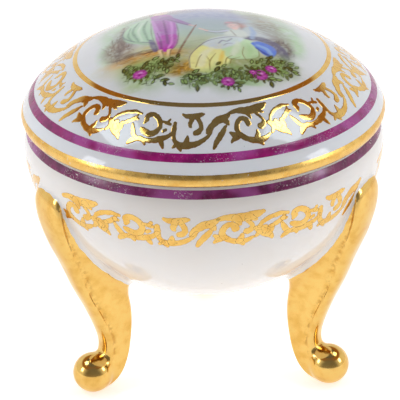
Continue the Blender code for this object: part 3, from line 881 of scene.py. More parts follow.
def paint_seated_figure(p):
    """A woman in a pale yellow and green dress with a blue drape."""
    line = (92, 78, 70)
    p.stroke(((9.4, -5.0, .9), (13.0, -5.0, 1.2), (16.0, -7.6, 1.4), (17.2, -10.8, .9)),
             (74, 66, 96), 0.8, 0.4)
    p.wash(((-2.8, -17.0), (-2.7, -13), (-0.8, -9.6), (2.8, -8.4), (5.0, -9.2), (5.4, -14.8),
            (3.4, -17.6), (1.0, -18.8), (-1.0, -18.2)), (214, 204, 138), 0.96, 0.35)
    p.wash(((3.8, -8.0), (6, -5.8), (10, -6.0), (11.6, -9.3), (11.4, -12.6), (7.8, -14.0), (5.2, -13.8),
            (4.0, -11)), (170, 196, 156), 0.96, 0.35)
    p.wash(((0.0, -8.8), (2.0, -6.0), (5.6, -4.8), (8.8, -5.4), (7.2, -8.2), (4.0, -10.4), (1.6, -10.2)),
           (184, 194, 200), 0.85, 0.5)
    p.stroke(((-0.6, -16.0, .7), (0.2, -12.5, .8), (1.8, -10.4, .5)), (240, 232, 176), 0.75, 0.5)
    p.stroke(((3.4, -16.0, .5), (3.8, -13.5, .5), (4.2, -11.5, .3)), (206, 176, 84), 0.70, 0.4)
    p.stroke(((6.2, -12.4, .6), (7.2, -9.6, .8), (7.4, -7.4, .4)), (196, 212, 186), 0.70, 0.5)
    p.stroke(((9.4, -12.6, .4), (10.0, -9.8, .6), (9.4, -7.6, .3)), (158, 190, 142), 0.60, 0.4)
    for points in (((-1.7, -16.8, .10), (-0.9, -13.8, .12), (-0.3, -12.6, .05)),
                   ((1.2, -17.9, .12), (1.3, -15.0, .14), (2.6, -12.2, .05)),
                   ((1.3, -15.0, .10), (0.6, -13.2, .05)),
                   ((4.4, -16.2, .10), (4.8, -14.0, .12), (6.0, -12.8, .05)),
                   ((5.4, -15.8, .10), (5.9, -14.2, .10), (7.6, -13.2, .05)),
                   ((8.8, -14.0, .10), (8.2, -11.8, .10), (8.6, -9.2, .05))):
        p.stroke(points, (112, 88, 30), 0.75, 0.14)
    p.stroke(((-2.9, -16.8, .08), (-2.8, -13, .10), (-0.9, -9.6, .12), (1.4, -7.0, .12), (5.6, -5.2, .12),
              (9.0, -4.8, .12)), (96, 86, 112), 0.80, 0.14)
    p.stroke(((3.4, -8.2, .15), (4.2, -7.0, .22), (5.2, -7.2, .2), (6.2, -6.0, .2)),
             (104, 100, 126), 0.7, 0.2)
    p.stroke(((4.4, -9.0, .1), (5.2, -8.2, .15), (6.2, -8.0, .1)), (112, 104, 124), 0.6, 0.2)
    p.stroke(((11.6, -9.2, .10), (11.4, -12.6, .12), (8.0, -14.0, .12), (5.2, -13.9, .10)),
             (96, 100, 66), 0.70, 0.16)
    p.wash(((10.2, -7.4), (11.8, -6.0), (14.8, -7.4), (15.4, -9.6), (14.4, -11.8), (12.6, -11.2),
            (11.4, -9.4)), (70, 106, 194), 0.97, 0.25)
    p.stroke(((11.6, -7.8, .4), (13.4, -8.8, .5), (14.2, -10.4, .4)), (132, 166, 226), 0.75, 0.35)
    p.stroke(((11.2, -9.0, .2), (12.8, -10.6, .3), (14.2, -11.6, .2)), (40, 56, 138), 0.8, 0.22)
    p.stroke(((10.6, -4.8, .5), (11.0, -2.0, .6), (10.6, 1.0, .4)), (136, 158, 192), 0.75, 0.4)
    p.wash(((4.8, -4.6), (5.8, -1.6), (8.6, -1.2), (9.8, -3.6), (8.6, -5.2)), (186, 192, 184), 0.80, 0.5)
    p.stroke(((6.2, -1.8, .15), (7.2, -4.4, .15)), line, 0.5, 0.2)
    p.stroke(((5.4, -2.0, .45), (3.2, -2.8, .42), (1.0, -2.2, .34)), (172, 178, 190), 0.85, 0.25)
    p.stroke(((1.2, -2.2, .30), (-0.4, -0.9, .25)), (206, 174, 162), 0.85, 0.2)
    p.stroke(((5.4, -2.7, .10), (3.0, -3.4, .12), (0.8, -2.7, .10)), line, 0.65, 0.14)
    p.stroke(((5.2, -1.4, .08), (3.0, -2.2, .08), (0.6, -1.6, .08)), line, 0.50, 0.14)
    p.blot(7.2, -0.6, 0.6, 0.8, (216, 182, 170), 0.85, 0.3, 0.2)
    p.blot(7.0, 0.8, 1.35, 1.7, (208, 170, 164), 0.85, 0.35, 0.3)
    p.wash(((5.2, 1.2), (5.3, 2.8), (6.8, 3.6), (8.7, 2.8), (9.1, 0.4), (8.4, -1.0), (8.2, 0.8),
            (7.7, 2.2), (6.1, 2.4)), (138, 104, 100), 0.70, 0.6)
    p.blot(6.0, 2.8, 0.8, 0.6, (190, 140, 152), 0.70, 0.5)
    p.blot(8.8, 1.6, 1.0, 1.2, (164, 122, 112), 0.55, 0.5)
    for x in (6.4, 7.4):
        p.blot(x, 1.1, 0.18, 0.12, (112, 84, 80), 0.6, 0.5, 0)
    p.stroke(((6.6, 0.0, .06), (7.2, 0.0, .06)), (184, 112, 112), 0.5, 0.12, 0)
    p.hatch(8.0, 3.0, 1.8, 1.4, 0.2, 10, 1.4, (112, 84, 78), 0.45)


def paint_spray(p, rng, root, tip, count):
    """A leaf spray over hatched shade."""
    (ax, ay), (bx, by) = root, tip
    x, y = (ax + bx) / 2, (ay + by) / 2
    wide, high = abs(bx - ax), abs(by - ay)
    lean = math.atan2(by - ay, bx - ax)
    p.blot(x, y, wide / 2 + 1.3, high / 2 + 1.3, (122, 148, 88), 0.50, 0.55, 0.8)
    p.stroke(((ax, ay, .08), (x, y + 0.4, .12), (bx, by, .06)), LEAF_DARK, 0.75, 0.12)
    for turn in (-0.8, 0.7):
        p.hatch(x, y, 0.36 * wide + 0.5, 0.36 * high + 0.5, lean + turn, count, 1.1, LEAF_DARK, 0.85, 0.09)
    for k in range(count):
        t = (k + rng.uniform(0, 0.8)) / count
        x = ax + (bx - ax) * t + rng.normal() * 0.35
        y = ay + (by - ay) * t + 0.2 + rng.normal() * 0.35
        angle = lean + (1.0 if k % 2 else -1.0) * rng.uniform(0.4, 1.5)
        tone = (LEAF_OLIVE, LEAF_FRESH, LEAF_FRESH, LEAF_OLIVE)[int(rng.integers(4))]
        p.outlined_leaf(x, y, angle, rng.uniform(1.2, 2.2), tone)


def paint_garland(p):
    """Leaf sprays and roses along the picture's lower edge."""
    rng = np.random.default_rng(23)
    sprays = (((-17.0, -13.0), (-12.0, -18.4), 20), ((-14.6, -13.4), (-8.0, -20.8), 24),
              ((-12.6, -12.8), (-7.2, -16.4), 18), ((-9.6, -14.0), (-5.6, -13.6), 12),
              ((-5.0, -19.6), (-0.6, -22.2), 16), ((-3.4, -19.0), (1.8, -21.0), 18),
              ((1.6, -18.4), (6.8, -22.8), 20), ((2.6, -16.8), (6.6, -19.6), 14),
              ((6.0, -17.6), (10.6, -20.4), 16), ((8.6, -16.2), (14.6, -19.8), 20),
              ((10.6, -13.6), (17.4, -17.2), 20), ((12.4, -12.6), (18.6, -14.2), 16),
              ((16.0, -11.6), (18.4, -16.2), 10))
    for root, tip, count in sprays:
        paint_spray(p, rng, root, tip, count)
    roses = ((-13.3, -16.4, 1.5), (4.7, -21.2, 1.35), (11.4, -18.3, 1.65), (13.9, -15.9, 1.2),
             (10.0, -17.8, 0.7))
    for x, y, size in roses:
        reach = size * 0.8
        for k in range(9):
            a = 2 * math.pi * k / 9 + x
            p.outlined_leaf(x + reach * math.cos(a), y + reach * math.sin(a), a, 1.3, LEAF_OLIVE)
        p.rose(x, y, size)


def painted_picture():
    """The whole scene."""
    p = Picture(27.4, 0.19)
    paint_land(p)
    paint_standing_figure(p)
    paint_seated_figure(p)
    paint_garland(p)
    return p


def picture_patch(p, radius, rise, material):
    """The picture as a sheet over the dome, its edge under the gilt ring."""
    r = np.hypot(p.x, p.y)
    keep = r < radius
    cells = keep[:-1, :-1] & keep[1:, :-1] & keep[1:, 1:] & keep[:-1, 1:]
    used = np.zeros(keep.shape, bool)
    for di in (0, 1):
        for dj in (0, 1):
            used[di:used.shape[0] - 1 + di, dj:used.shape[1] - 1 + dj] |= cells
    number = np.full(keep.shape, -1)
    number[used] = np.arange(used.sum())
    z = SEAM_Z + LIP_H + DOME_RISE * (1 - (r * MM / LIP_R) ** 2) ** DOME_POWER + rise
    verts = np.c_[p.x[used] * MM, p.y[used] * MM, z[used]]
    i, j = np.nonzero(cells)
    faces = np.c_[number[i, j], number[i + 1, j], number[i + 1, j + 1], number[i, j + 1]]
    obj = new_object("lid_painting", verts, [tuple(int(v) for v in f) for f in faces], material)
    layer = obj.data.color_attributes.new("paint", "FLOAT_COLOR", "POINT")
    data = np.c_[p.colour[used], p.cover[used]].astype(np.float32)
    layer.data.foreach_set("color", data.ravel())
    put_attribute(obj, "cover", p.cover[used])
    return obj


# ---------------------------------------------------------------- materials

def feed(tree, owner, inputs):
    """Set a node's inputs, or link them where the value is another node's output."""
    for key, value in inputs.items():
        if isinstance(value, bpy.types.NodeSocket):
            tree.links.new(value, owner.inputs[key])
        else:
            owner.inputs[key].default_value = value


def node(tree, kind, inputs=None, **settings):
    """Add a node, set its options, and set or link its inputs."""
    made = tree.nodes.new(kind)
    for key, value in settings.items():
        setattr(made, key, value)
    feed(tree, made, inputs or {})
    return made


class Finish:
    """A material's node tree with short ways to add what several finishes share."""

    def __init__(self, name):
        self.material = bpy.data.materials.new(name)
        self.material.use_nodes = True
        self.tree = self.material.node_tree
        self.shader = self.tree.nodes["Principled BSDF"]
        self.place = self.add("ShaderNodeTexCoord").outputs["Object"]

    def add(self, kind, inputs=None, **settings):
        return node(self.tree, kind, inputs, **settings)

    def noise(self, size, detail=2.0):
        """Noise with features of a size in metres."""
        made = self.add("ShaderNodeTexNoise", {"Vector": self.place, "Scale": 1 / size, "Detail": detail})
        return made.outputs[0]

    def spots(self, size):
        """Distance from the nearest of scattered points, in spacings."""
        made = self.add("ShaderNodeTexVoronoi", {"Vector": self.place, "Scale": 1 / size})
        return made.outputs["Distance"]

    def ranged(self, value, low, high, to_low, to_high):
        """A value's range mapped smoothly to another."""
        made = self.add("ShaderNodeMapRange", {"Value": value, 1: low, 2: high, 3: to_low, 4: to_high},
                        interpolation_type="SMOOTHSTEP")
        return made.outputs[0]

    def math(self, operation, a, b):
        return self.add("ShaderNodeMath", {0: a, 1: b}, operation=operation).outputs[0]

    def times(self, a, b):
        return self.math("MULTIPLY", a, b)

    def mixed_value(self, share, a, b):
        """One number turning into another."""
        return self.add("ShaderNodeMix", {0: share, 2: a, 3: b}, data_type="FLOAT").outputs[0]

    def mixed(self, share, a, b):
        """One colour turning into another."""
        return self.add("ShaderNodeMix", {0: share, 6: a, 7: b}, data_type="RGBA").outputs[2]

    def bumped(self, *layers):
        """Bumps one over another, each (height, distance in metres)."""
        normal = None
        for height, distance in layers:
            inputs = {"Height": height, "Distance": distance, "Strength": 1.0}
            if normal is not None:
                inputs["Normal"] = normal
            normal = self.add("ShaderNodeBump", inputs).outputs[0]
        return normal

    def set(self, **inputs):
        """Set or link the shader's own inputs, an underscore standing for a space."""
        feed(self.tree, self.shader, {key.replace("_", " "): value for key, value in inputs.items()})


def rgba(colour):
    return (*list(colour)[:3], 1.0)


def toned(colour, *shares):
    """A colour with red, green and blue each scaled by its share."""
    return [c * k for c, k in zip(colour, shares)]


def glaze_colour(f, tint):
    """White glaze: faint drifts of tone and rare specks of kiln dirt."""
    warm = toned(tint, 1.0, 0.985, 0.965)
    tone = f.mixed(f.ranged(f.noise(0.011), 0.3, 0.7, 0, 1), rgba(tint), rgba(warm))
    rare = f.ranged(f.noise(0.006), 0.54, 0.62, 0, 1)
    speck = f.times(f.ranged(f.spots(0.0032), 0.03, 0.055, 1, 0), rare)
    return f.mixed(f.times(speck, 0.6), tone, rgba(srgb(126, 112, 98)))


def glaze_waves(f):
    """The gentle waves of thick glaze, as a layer of bumps."""
    return f.noise(0.0075, 1.0), 0.00005


def glazed(f, colour, rough, normal, depth):
    """Glazed clay that light enters a little way."""
    f.set(Base_Color=colour, Roughness=rough, Normal=normal, Subsurface_Weight=depth,
          Subsurface_Radius=(0.0022, 0.0018, 0.0014), Subsurface_Scale=1.0, IOR=1.52)
    return f.material


def biscuit_part(f, tint, bare):
    """Unglazed clay where the mask is 1, on top of the glaze."""
    clay = f.mixed(f.ranged(f.noise(0.0006, 3.0), 0.3, 0.7, 0, 1),
                   rgba(srgb(226, 222, 212)), rgba(srgb(202, 196, 184)))
    colour = f.mixed(bare, glaze_colour(f, tint), clay)
    rough = f.ranged(bare, 0, 1, 0.06, 0.75)
    grain = f.times(f.noise(0.0004, 3.0), bare)
    return colour, rough, f.bumped(glaze_waves(f), (grain, 0.00003))


def ringed_porcelain(name, tint, radius_low, radius_high, z_low, z_high):
    """Glazed porcelain with one bare ring, where the pieces were set down in the kiln."""
    f = Finish(name)
    split = f.add("ShaderNodeSeparateXYZ", {0: f.place})
    squares = [f.math("POWER", split.outputs[k], 2.0) for k in (0, 1)]
    radius = f.math("SQRT", f.math("ADD", *squares), 0.0)
    wander = f.times(f.math("SUBTRACT", f.noise(0.003), 0.5), 0.0004)
    radius = f.math("ADD", radius, wander)
    inner = f.ranged(radius, radius_low - 0.0001, radius_low + 0.0001, 0, 1)
    outer = f.ranged(radius, radius_high - 0.0001, radius_high + 0.0001, 1, 0)
    low = f.ranged(split.outputs[2], z_low - 0.0001, z_low, 0, 1)
    high = f.ranged(split.outputs[2], z_high, z_high + 0.0001, 1, 0)
    mask = f.times(f.times(inner, outer), f.times(low, high))
    return glazed(f, *biscuit_part(f, tint, mask), 0.18)


def gold_look(f, gold, dull=1.0):
    """Bright fired gold: colour, roughness and bumps."""
    deep, brown = toned(gold, 0.90, 0.80, 0.62), toned(gold, 0.80, 0.62, 0.40)
    tone = f.mixed(f.ranged(f.noise(0.0026, 3.0), 0.35, 0.75, 0, 1), rgba(gold), rgba(deep))
    grain = f.ranged(f.noise(0.00035, 2.0), 0.55, 0.85, 0, 1)
    tone = f.mixed(f.times(grain, 0.35), tone, rgba(brown))
    rough = f.ranged(f.noise(0.0019, 3.0), 0.3, 0.75, 0.07 * dull, 0.15 * dull)
    normal = f.bumped((f.noise(0.0060, 1.0), 0.00003), (f.noise(0.0012, 1.0), 0.000003),
                      (f.noise(0.0003, 2.0), 0.0000012))
    return tone, rough, normal


def gilding(name, gold, tint, wear, dull=1.0):
    """Gold brushed over the glaze, rubbed through in specks."""
    f = Finish(name)
    tone, rough, normal = gold_look(f, gold, dull)
    specks = f.ranged(f.noise(0.0005, 3.0), 0.66, 0.70, 0, 1)
    patches = f.ranged(f.noise(0.004), 0.45, 0.65, 0, 1)
    hole = f.times(f.times(specks, patches), wear)
    colour = f.mixed(hole, tone, rgba(tint))
    metal = f.math("SUBTRACT", 1.0, hole)
    f.set(Base_Color=colour, Metallic=metal, Roughness=rough, Normal=normal)
    return f.material


def scroll_gilding(name, gold, dark):
    """Printed gold with fine dark outlines and reddish specks."""
    f = Finish(name)
    tone, rough, normal = gold_look(f, gold)
    line = f.add("ShaderNodeAttribute", attribute_name="line").outputs["Fac"]
    ragged = f.math("ADD", line, f.times(f.math("SUBTRACT", f.noise(0.0006, 3.0), 0.5), 0.10))
    edge = f.ranged(ragged, 0.015, 0.075, dark, 0)
    specks = f.ranged(f.noise(0.0005, 2.0), 0.64, 0.70, 0, 0.7)
    red = f.times(specks, f.ranged(f.noise(0.003), 0.4, 0.6, 0.2, 1))
    tone = f.mixed(edge, tone, rgba(srgb(150, 96, 50)))
    tone = f.mixed(red, tone, rgba(srgb(150, 70, 26)))
    metal = f.ranged(edge, 0, 1, 1, 0.55)
    f.set(Base_Color=tone, Metallic=metal, Roughness=rough, Normal=normal)
    return f.material


def enamel(name, colour, tint, wear_and_glints):
    """Purple enamel: darker clouds, lilac clouds of painted sheen, and pale flecks that are partly wear and
    partly painted glints.
    """
    f = Finish(name)
    dark = toned(colour, 0.55, 0.5, 0.6)
    tone = f.mixed(f.ranged(f.noise(0.0022, 3.0), 0.3, 0.7, 0, 1), rgba(dark), rgba(colour))
    lilac = [0.55 * c + 0.45 * k for c, k in zip(colour, (0.62, 0.20, 0.66))]
    # Painted sheen: lilac clouds that stand in for the lamps' sheen on the enamel
    painted_sheen = f.ranged(f.noise(0.0090, 2.0), 0.46, 0.66, 0, 1)
    tone = f.mixed(f.times(painted_sheen, 0.7), tone, rgba(lilac))
    # Pale flecks, partly worn enamel and partly painted glints, thicker in patches
    flecks = f.ranged(f.noise(0.00028, 2.0), 0.60, 0.68, 0, 1)
    patches = f.ranged(f.noise(0.0075), 0.48, 0.60, 0.03, 1)
    fleck = f.times(flecks, patches)
    tone = f.mixed(f.times(fleck, wear_and_glints), tone, rgba(tint))
    rough = f.ranged(f.noise(0.0016, 3.0), 0.3, 0.7, 0.14, 0.30)
    normal = f.bumped((f.noise(0.0040, 1.0), 0.00003), (f.noise(0.00045, 2.0), 0.000008))
    f.set(Base_Color=tone, Roughness=rough, Normal=normal, IOR=1.5)
    return f.material


def painted_glaze(name, tint):
    """The picture's colours sunk into the glaze."""
    f = Finish(name)
    paint = f.add("ShaderNodeAttribute", attribute_name="paint").outputs["Color"]
    cover = f.add("ShaderNodeAttribute", attribute_name="cover").outputs["Fac"]
    bare = f.math("SUBTRACT", 1.0, cover)
    glaze = f.add("ShaderNodeVectorMath", {0: glaze_colour(f, tint), "Scale": bare},
                  operation="SCALE").outputs[0]
    colour = f.add("ShaderNodeVectorMath", {0: glaze, 1: paint}, operation="ADD").outputs[0]
    brush = f.times(f.noise(0.0004, 3.0), cover)
    normal = f.bumped(glaze_waves(f), (f.noise(0.0011, 2.0), 0.0000035), (brush, 0.000004))
    return glazed(f, colour, f.ranged(f.noise(0.004), 0.3, 0.7, 0.05, 0.10), normal, 0.12)


def leg_finish(name, gold, tint):
    """White glaze in the fillets, bright gold over the rest, bare clay under the foot."""
    f = Finish(name)
    gilt = f.add("ShaderNodeAttribute", attribute_name="gilding").outputs["Fac"]
    wander = f.times(f.math("SUBTRACT", f.noise(0.0022, 3.0), 0.5), 0.5)
    mask = f.ranged(f.math("ADD", gilt, wander), -0.03, 0.03, 0, 1)
    tone, rough, normal = gold_look(f, gold)
    groove = f.add("ShaderNodeAttribute", attribute_name="groove").outputs["Fac"]
    # Painted shade: the gold darkens towards brown in blotches along the groove beside the strap
    groove_shade = f.times(f.ranged(f.noise(0.0012, 3.0), 0.42, 0.62, 0, 1), groove)
    tone = f.mixed(f.times(groove_shade, 0.5), tone, rgba(srgb(170, 108, 36)))
    split = f.add("ShaderNodeSeparateXYZ", {0: f.place})
    foot = f.ranged(split.outputs[2], 0.00002, 0.00012, 1, 0)
    colour = f.mixed(mask, glaze_colour(f, tint), tone)
    colour = f.mixed(foot, colour, rgba(srgb(214, 208, 196)))
    metal = f.times(mask, f.math("SUBTRACT", 1.0, foot))
    rough = f.mixed_value(mask, 0.06, rough)
    rough = f.math("MAXIMUM", rough, f.times(foot, 0.75))
    f.set(Base_Color=colour, Metallic=metal, Roughness=rough, Normal=normal, IOR=1.52)
    return f.material


# ---------------------------------------------------------------- settings and operators

class TrinketBoxSettings(bpy.types.PropertyGroup):
    """Sizes and colours of the finish."""

    # The lid's bluish white and the bowl's warmer white are one porcelain tinted as painted light: cool where
    # it is lit from above, warm where the table's glow lights it from below
    glaze: FloatVectorProperty(name="Lid glaze", description="White of the lid's glazed porcelain",
                               subtype="COLOR", size=3, min=0, max=1, default=(0.800, 0.830, 0.865))
    bowl_glaze: FloatVectorProperty(name="Bowl glaze", description="White of the bowl's glazed porcelain",
                                    subtype="COLOR", size=3, min=0, max=1, default=(0.800, 0.785, 0.765))
    gold: FloatVectorProperty(name="Gold", description="Colour of the fired gold", subtype="COLOR",
                              size=3, min=0, max=1, default=(0.78, 0.51, 0.15))
    lid_enamel: FloatVectorProperty(name="Lid enamel", description="Colour of the lid's enamel band",
                                    subtype="COLOR", size=3, min=0, max=1, default=(0.360, 0.004, 0.165))
    bowl_enamel: FloatVectorProperty(name="Bowl enamel", description="Colour of the bowl's enamel band",
                                     subtype="COLOR", size=3, min=0, max=1, default=(0.200, 0.010, 0.095))
    lid_repeats: IntProperty(name="Lid scroll repeats", description="Copies of the scroll round the lid",
                             default=6, min=1, max=24)
    bowl_repeat_angle: FloatProperty(name="Bowl scroll angle", default=math.radians(52.5), subtype="ANGLE",
                                     description="Turn that one repeat takes on the bowl")
    bowl_panel_start: FloatProperty(name="Bowl panel start", default=math.radians(-49.5), subtype="ANGLE",
                                    description="Where the front panel's scroll starts")
    ring_radius: FloatProperty(name="Ring radius", description="Middle of the gilt ring round the picture",
                               default=0.02712, unit="LENGTH")
    ring_width: FloatProperty(name="Ring width", description="Width of the gilt ring", default=0.00095,
                              unit="LENGTH")
    lid_band_radius: FloatProperty(name="Lid band radius", description="Inner edge of the lid's enamel band",
                                   default=0.0362, unit="LENGTH")
    lid_band_end: FloatProperty(name="Lid band end", description="Outer edge of the lid's enamel band",
                                default=0.0375, unit="LENGTH")
    bowl_band_drop: FloatProperty(name="Bowl band drop", default=0.00055, unit="LENGTH",
                                  description="Top of the bowl's enamel band below the seam")
    bowl_band_width: FloatProperty(name="Bowl band width", description="Width of the bowl's enamel band",
                                   default=0.00175, unit="LENGTH")
    lamp_strength: FloatProperty(name="Lamp strength", default=0.70, min=0,
                                 description="Power in watts of each high lamp; a low one has half")


def settings():
    return bpy.context.scene.trinket_box


class BuildLid(bpy.types.Operator):
    """Make the lid's porcelain, its enamel band, gilt ring and gilt lip"""

    bl_idname = "trinket_box.build_lid"
    bl_label = "Lid"

    def execute(self, context):
        s = settings()
        clay = ringed_porcelain("lid_glaze", s.glaze, FLANGE_R, LID_EDGE_R, SEAM_Z - 0.0005, SEAM_Z + 0.00005)
        lid = new_object("lid_porcelain", *turned(lid_outline()), clay)
        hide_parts("lid")
        enamelled = enamel("lid_enamel", s.lid_enamel, s.glaze, 0.45)
        gilt = gilding("lid_gilding", s.gold, s.glaze, 0.5)
        rim = gilding("rim_gilding", s.gold, s.glaze, 1.0, 2.6)
        half = s.ring_width / 2
        bands = (
            ("lid_enamel_band", s.lid_band_radius, s.lid_band_end, 3, enamelled),
            ("lid_gilt_ring", s.ring_radius - half, s.ring_radius + half, 4, gilt),
        )
        pieces = [lid]
        for name, start, end, seed, material in bands:
            ends = LID_SKIN.where_r(start), LID_SKIN.where_r(end)
            made = band(LID_SKIN, *ends, height=BAND_RISE, wobble=0.00003, seed=seed)
            pieces.append(new_object(name, *made, material))
        ends = LID_SKIN.where_z(SEAM_Z + LIP_GILDING_TOP), float(LID_SKIN.length[-1]) - 0.0001
        made = band(LID_SKIN, *ends, height=0.00003, wobble=0.00006, seed=6, across=30)
        pieces.append(new_object("lid_gilt_lip", *made, rim))
        for piece in pieces:
            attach(piece, "lid")
        return {"FINISHED"}


class BuildBowl(bpy.types.Operator):
    """Make the bowl's porcelain and its enamel band"""

    bl_idname = "trinket_box.build_bowl"
    bl_label = "Bowl"

    def execute(self, context):
        s = settings()
        rim_z = SEAM_Z - SEAM_GAP
        # The bowl's warmer glaze tint is painted light from the table's glow
        clay = ringed_porcelain("bowl_glaze", s.bowl_glaze, MOUTH_R + 0.0002, SEAM_R - 0.0002,
                                rim_z - 0.0001, rim_z + 0.001)
        bowl = new_object("bowl_porcelain", *turned(bowl_outline()), clay)
        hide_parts("bowl")
        top = SEAM_Z - s.bowl_band_drop
        ends = BOWL_SKIN.where_z(top), BOWL_SKIN.where_z(top - s.bowl_band_width)
        enamelled = enamel("bowl_enamel", s.bowl_enamel, s.bowl_glaze, 1.0)
        made = band(BOWL_SKIN, *ends, height=BAND_RISE, wobble=0.00004, seed=8)
        stripe = new_object("bowl_enamel_band", *made, enamelled)
        for piece in (bowl, stripe):
            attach(piece, "base")
        return {"FINISHED"}


class BuildScrolls(bpy.types.Operator):
    """Make the two gilt scroll bands"""

    bl_idname = "trinket_box.build_scrolls"
    bl_label = "Scroll bands"

    def execute(self, context):
        s = settings()
        lid_gold = scroll_gilding("lid_scroll_gilding", s.gold, 0.55)
        low, high = (LID_SKIN.where_r(r) for r in LID_SCROLL_R)
        step = 2 * math.pi / s.lid_repeats
        lid = scroll_repeat("lid_scroll", LID_SKIN, low, high, step, 0.11, SCROLL_RELIEF, lid_gold)
        repeat_round(lid, lid_gold, Count=s.lid_repeats, Step=step, Start=math.radians(-50))
        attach(lid, "lid")
        bowl_gold = scroll_gilding("bowl_scroll_gilding", s.gold, 0.6)
        low, high = (BOWL_SKIN.where_z(SEAM_Z - drop) for drop in BOWL_SCROLL_DROP)
        step = s.bowl_repeat_angle
        bowl = scroll_repeat("bowl_scroll", BOWL_SKIN, low, high, step, 0.28, SCROLL_RELIEF, bowl_gold)
        repeat_round(bowl, bowl_gold, Count=2, Step=step, Start=s.bowl_panel_start)
        repeat_round(bowl, bowl_gold, Count=len(LEG_TURNS), Step=2 * math.pi / len(LEG_TURNS), Start=0.0)
        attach(bowl, "base")
        return {"FINISHED"}


class BuildPicture(bpy.types.Operator):
    """Paint the scene on the lid"""

    bl_idname = "trinket_box.build_picture"
    bl_label = "Painted scene"

    def execute(self, context):
        s = settings()
        material = painted_glaze("picture_glaze", s.glaze)
        patch = picture_patch(painted_picture(), s.ring_radius / MM, PAINT_RISE, material)
        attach(patch, "lid")
        return {"FINISHED"}


class BuildLegs(bpy.types.Operator):
    """Make the three legs with their fillets, gilding and ball toes"""

    bl_idname = "trinket_box.build_legs"
    bl_label = "Legs"

    def execute(self, context):
        s = settings()
        material = leg_finish("leg_gilding", s.gold, s.bowl_glaze)
        verts, faces = leg_net()
        off_bowl = bowl_field(verts)
        drop = SEAM_Z - verts[:, 2]
        edge = np.interp(drop, [0.008, 0.016, 0.030, 0.040], [0.0003, 0.0005, 0.0011, 0.0016])
        gilt = (off_bowl - edge) / MM
        tree, places = leg_tree()
        nearest = [places[tree.find_nearest(Vector(p))[2]] for p in verts]
        depth, along = np.array(nearest).T
        # Nearness to the groove beside the strap, where the leg's finish paints shade on the gold
        groove = np.exp(-(depth / 0.05) ** 2) * ease(along / 0.15) * ease((0.86 - along) / 0.15)
        for name, turn in LEG_TURNS.items():
            spin = np.array(Matrix.Rotation(math.radians(turn), 3, "Z"))
            leg = new_object(name + "_porcelain", verts @ spin.T, faces, material)
            put_attribute(leg, "gilding", gilt)
            put_attribute(leg, "groove", groove)
            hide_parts(name)
            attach(leg, "base")
        return {"FINISHED"}


class BuildStage(bpy.types.Operator):
    """Set up the table, soft lamps, surroundings and camera"""

    bl_idname = "trinket_box.build_stage"
    bl_label = "Stage"

    def execute(self, context):
        add_table()
        add_surroundings()
        power = settings().lamp_strength
        for name, side in (("left", -1), ("right", 1)):
            high, low = (side * 0.34, -0.02, SEAM_Z + 0.50), (side * 0.48, -0.16, SEAM_Z + 0.16)
            add_lamp("lamp_high_" + name, high, 0.23, 0.19, power, (0.80, 0.92, 1.0))
            add_lamp("lamp_low_" + name, low, 0.13, 0.16, 0.5 * power, (0.92, 0.94, 1.0))
        add_camera()
        return {"FINISHED"}


def add_table():
    """A pale table lit from below, as for small goods; its glow, brighter near the box and fading towards the
    front edge, is a painted pool of light.
    """
    f = Finish("table_surface")
    tone = f.mixed(f.ranged(f.noise(0.05), 0.3, 0.7, 0, 1), rgba((0.86,) * 3), rgba((0.90,) * 3))
    rough = f.ranged(f.noise(0.01), 0.3, 0.7, 0.65, 0.75)
    near = f.add("ShaderNodeSeparateXYZ", {0: f.place}).outputs[1]
    # Painted pool of light: the glow is brighter near and behind the box and dimmer towards the front edge
    glow = f.ranged(near, -0.15, -0.06, 0.30, 0.56)
    f.set(Base_Color=tone, Roughness=rough, Emission_Color=(1.0, 0.975, 0.955, 1), Emission_Strength=glow)
    half = 2.0
    corners = [(-half, -half, 0), (half, -half, 0), (half, half, 0), (-half, half, 0)]
    table = new_object("table", corners, [(0, 1, 2, 3)], f.material)


def add_surroundings():
    """A room that is bright near the horizon and dim overhead."""
    world = bpy.data.worlds.new("surroundings")
    bpy.context.scene.world = world
    world.use_nodes = True
    tree = world.node_tree
    place = node(tree, "ShaderNodeTexCoord").outputs["Generated"]
    split = node(tree, "ShaderNodeSeparateXYZ", {0: place})
    overhead, beam = (0.170, 0.185, 0.260), (0.36, 0.18, 0.05)
    front = ((0.0, (0.34, 0.34, 0.35)), (0.25, (0.24, 0.24, 0.25)), (0.60, (0.20, 0.20, 0.21)),
             (0.85, (0.175, 0.180, 0.22)), (1.0, overhead))
    back = ((0.0, (1.0, 1.0, 1.0)), (0.5, (0.92, 0.93, 0.95)), (0.57, (0.75, 0.74, 0.73)), (0.61, beam),
            (0.78, beam), (0.88, (0.15, 0.15, 0.17)), (1.0, overhead))
    ramps = []
    for stops in (front, back):
        ramp = node(tree, "ShaderNodeValToRGB", {0: split.outputs[2]})
        marks = ramp.color_ramp.elements
        while len(marks) < len(stops):
            marks.new(0.5)
        for mark, (spot, colour) in zip(marks, stops):
            mark.position, mark.color = spot, rgba(colour)
        ramps.append(ramp.outputs[0])
    share = node(tree, "ShaderNodeMapRange", {"Value": split.outputs[1], 1: -0.80, 2: -0.35, 3: 0.0, 4: 1.0},
                 interpolation_type="SMOOTHSTEP")
    blend = node(tree, "ShaderNodeMix", {0: share.outputs[0], 6: ramps[0], 7: ramps[1]}, data_type="RGBA")
    feed(tree, tree.nodes["Background"], {0: blend.outputs[2], 1: 1.0})


def add_lamp(name, place, wide, high, power, colour):
    """A soft lamp aimed at the seam."""
    data = bpy.data.lights.new(name, "AREA")
    data.shape, data.size, data.size_y, data.energy, data.color = "RECTANGLE", wide, high, power, colour
    lamp = bpy.data.objects.new(name, data)
    lamp.location = place
    lamp.rotation_euler = (Vector((0, 0, SEAM_Z)) - lamp.location).to_track_quat("-Z", "Y").to_euler()
    bpy.context.scene.collection.objects.link(lamp)


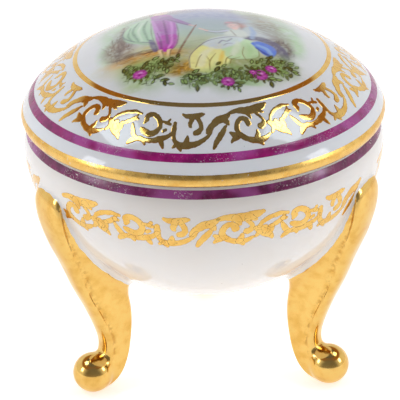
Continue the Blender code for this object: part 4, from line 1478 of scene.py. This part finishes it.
def add_camera():
    """Seen from a little above the front, the seam's middle a little above the frame's middle."""
    distance, elevation, yaw, roll = 0.456, math.radians(23.4), math.radians(1.4), math.radians(-1.4)
    focus = Vector((0, 0, SEAM_Z))
    level = math.cos(elevation)
    out = Vector((-math.sin(yaw) * level, -math.cos(yaw) * level, math.sin(elevation)))
    data = bpy.data.cameras.new("camera")
    data.sensor_width, data.lens, data.clip_start, data.clip_end = 36.0, 189.0, 0.01, 10.0
    camera = bpy.data.objects.new("camera", data)
    aim = Vector((0.0080, 0.2195, -5.25)).normalized()
    look = (-out).to_track_quat("-Z", "Y").to_matrix()
    tilt = Vector((0, 0, -1)).rotation_difference(aim).to_matrix()
    turn = look @ Matrix.Rotation(roll, 3, "Z") @ tilt.inverted()
    camera.matrix_world = Matrix.Translation(focus + out * distance) @ turn.to_4x4()
    bpy.context.scene.collection.objects.link(camera)
    bpy.context.scene.camera = camera
    bpy.context.scene.view_settings.view_transform = "Standard"


class TrinketBoxPanel(bpy.types.Panel):
    """Settings and steps of the trinket box"""

    bl_idname = "VIEW3D_PT_trinket_box"
    bl_label = "Trinket box"
    bl_space_type = "VIEW_3D"
    bl_region_type = "UI"
    bl_category = "Trinket box"

    def draw(self, context):
        for name in TrinketBoxSettings.__annotations__:
            self.layout.prop(settings(), name)
        for operator in OPERATORS:
            self.layout.operator(operator.bl_idname)


OPERATORS = (BuildLid, BuildBowl, BuildScrolls, BuildPicture, BuildLegs, BuildStage)
CLASSES = (TrinketBoxSettings, *OPERATORS, TrinketBoxPanel)


def register():
    for item in CLASSES:
        bpy.utils.register_class(item)
    bpy.types.Scene.trinket_box = PointerProperty(type=TrinketBoxSettings)


def unregister():
    del bpy.types.Scene.trinket_box
    for item in reversed(CLASSES):
        bpy.utils.unregister_class(item)


def main():
    """Build everything."""
    register()
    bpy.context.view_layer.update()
    for step in ("build_lid", "build_bowl", "build_scrolls", "build_picture", "build_legs", "build_stage"):
        getattr(bpy.ops.trinket_box, step)()


if __name__ == "__main__":
    main()
